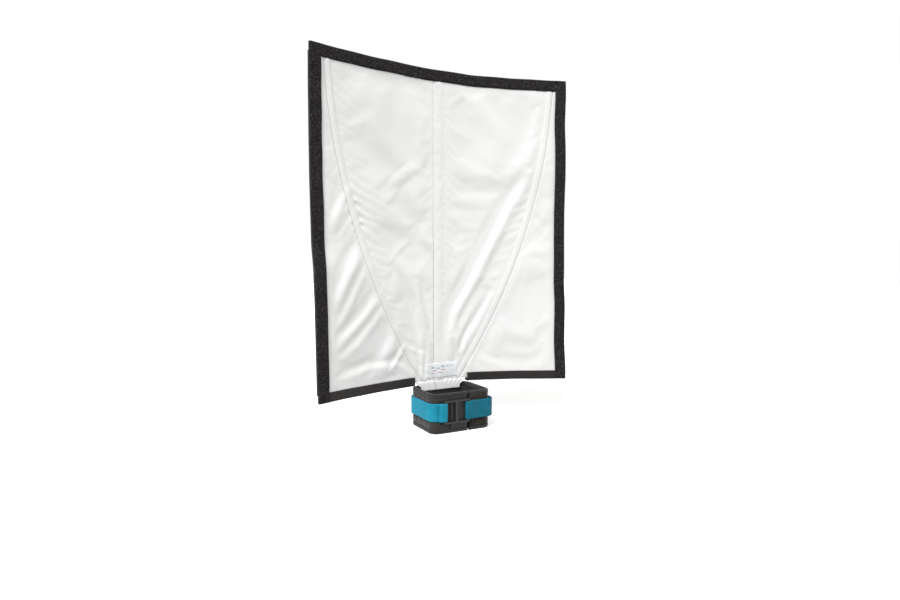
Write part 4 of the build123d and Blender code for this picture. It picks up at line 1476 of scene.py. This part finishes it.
def build_stitches():
    for key, (low_s, high_s, _, _) in PIECES.items():
        side = side_of(key)
        front, back, dark = bmesh.new(), bmesh.new(), bmesh.new()
        keep = (low_s, high_s)
        for offset in (-SIDE_CHANNEL, SIDE_CHANNEL):
            line = seam_line(side, offset)
            sew(front, line, lambda s, z: front_lift(s, z) + 0.00012, keep=keep)
            sew(back, line, lambda s, z: back_lift(s, z) - 0.00045, keep=keep)
        if "centre" in key:
            line = centre_seam(side) + [[side * 0.00001, 0]]
            wide = (low_s - 0.001, high_s + 0.001)
            sew(front, line, lambda s, z: front_lift(s, z) + 0.00012, keep=wide)
            sew(back, line, lambda s, z: back_lift(s, z) - 0.00045, keep=wide)
        for line, lift in tape_rows():
            sew(dark, line, lambda s, z, lift=lift: np.full(len(s), lift), pitch=0.0032, length=0.0023,
                keep=keep)
        if "centre" in key:
            half = (max(LABEL_S[0], -0.0097) if side > 0 else LABEL_S[0], LABEL_S[1] if side > 0 else -0.0097)
            for z in (LABEL_Z[0] + 0.0012, LABEL_Z[1] - 0.0012):
                sew(front, [(LABEL_S[0], z), (LABEL_S[1], z)], lambda s, z: label_lift(s, z) + 0.0001,
                    pitch=0.0024, length=0.0016, width=0.00032, keep=half)
        for name, bm, thread, slot in (("white_stitches", front, WHITE_THREAD, "white_cloth"),
                                       ("back_stitches", back, DARK_THREAD, "black_cloth"),
                                       ("tape_stitches", dark, DARK_THREAD, "hem_tape")):
            if not bm.faces:
                bm.free()
                continue
            piece = finish_flat(f"{name}_{key}", bm, thread)
            bend_with(piece, key)
    rims = bmesh.new()
    for z, out in ((COLLAR_TOP - 0.0045, 0.0028), (0.0045, 0.0028)):
        sew(rims, [(COLLAR_WAY[0] + 0.001, z), (COLLAR_WAY[1] - 0.001, z)],
            lambda way, z, out=out: np.full(len(way), out), pitch=0.0030, length=0.0021)
    for way in (GAP_RIGHT + 0.0020, 0.0318, WALL_LENGTH - 0.0163, WALL_LENGTH + GAP_LEFT - 0.0018):
        sew(rims, [(way, 0.006), (way, COLLAR_TOP - 0.006)],
            lambda way, z: np.full(len(way), 0.0028) + drape(way, z) * 0.55, pitch=0.0030, length=0.0021)
    co = coordinates(rims)
    move_to(rims, on_collar(co[:, 0], co[:, 2], co[:, 1]))
    bmesh.ops.recalc_face_normals(rims, faces=rims.faces)
    piece = make_object("collar_stitches", rims, DARK_THREAD)
    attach(piece, "collar")
    box = bmesh.new()
    low_corner, high_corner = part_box("strap_anchor_patch")
    a, b = low_corner.x + 0.002, high_corner.x - 0.002
    c, d = low_corner.z + 0.002, high_corner.z - 0.002
    for line in ([(a, c), (b, c)], [(a, d), (b, d)], [(a, c), (a, d)], [(b, c), (b, d)], [(a, c), (b, d)],
                 [(a, d), (b, c)]):
        sew(box, line, lambda s, z: np.zeros(len(s)), pitch=0.0026, length=0.0019)
    co = coordinates(box)
    move_to(box, np.column_stack([co[:, 0], high_corner.y + 0.0001 + co[:, 2], co[:, 1]]))
    bmesh.ops.recalc_face_normals(box, faces=box.faces)
    piece = make_object("anchor_stitches", box, TEAL_THREAD)
    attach(piece, "collar")


# ---- studio -----------------------------------------------------------------------------------------
def studio():
    camera_data = bpy.data.cameras.new("studio_camera")
    camera_data.lens = 24.17
    camera_data.sensor_width = 36
    camera_data.clip_start = 0.01
    camera = bpy.data.objects.new("studio_camera", camera_data)
    camera.location = (-0.3669, -0.6771, 0.2076)
    camera.rotation_euler = (math.radians(90 - 3.394), 0, math.radians(-28.43))
    bpy.context.scene.collection.objects.link(camera)
    bpy.context.scene.camera = camera

    bm = bmesh.new()
    bmesh.ops.create_grid(bm, x_segments=8, y_segments=8, size=6)
    floor_finish = Finish("pale_floor", Specular_IOR_Level=0.1, Emission_Color=(1, 1, 1, 1),
                          Emission_Strength=0.40)
    dust = floor_finish.noise(floor_finish.place((1, 1, 1)), 3.0, 3)
    colour = floor_finish.ramp(dust, (0.3, tint(246, 246, 246)), (0.7, tint(250, 250, 250)))
    floor_material = floor_finish.done(colour, dust * 0.1 + 0.85)
    floor = make_object("studio_floor", bm, floor_material)
    floor.visible_diffuse = False            # the cloth's folds keep their shade above the white floor

    world = bpy.data.worlds.new("studio")
    world.use_nodes = True
    background = world.node_tree.nodes["Background"]
    seen = world.node_tree.nodes.new("ShaderNodeLightPath")
    light = world.node_tree.nodes.new("ShaderNodeMix")
    light.data_type = "RGBA"
    light.inputs[6].default_value = (0.358, 0.352, 0.343, 1)
    light.inputs[7].default_value = (1.0, 1.0, 1.0, 1)
    world.node_tree.links.new(seen.outputs["Is Camera Ray"], light.inputs[0])
    world.node_tree.links.new(light.outputs[2], background.inputs["Color"])
    background.inputs["Strength"].default_value = 1.0
    bpy.context.scene.world = world

    for name, way, power, angle in (("key", (-0.58, -0.40, 0.70), 3.1, 24),
                                    ("fill", (0.75, -0.60, 0.25), 1.15, 40),
                                    ("side", (-1.0, 0.25, 0.15), 1.2, 40),
                                    ("rim", (0.3, 0.9, 0.7), 0.8, 50)):
        data = bpy.data.lights.new(name, "SUN")
        data.energy = power
        data.angle = math.radians(angle)
        lamp = bpy.data.objects.new(name, data)
        lamp.rotation_euler = Vector(way).to_track_quat("Z", "Y").to_euler()
        bpy.context.scene.collection.objects.link(lamp)
    bpy.context.scene.view_settings.view_transform = "Standard"


studio()
settle_front()
build_cloth()
build_tapes()
build_rods()
build_neck()
build_label()
build_collar()
build_straps()
build_stitches()
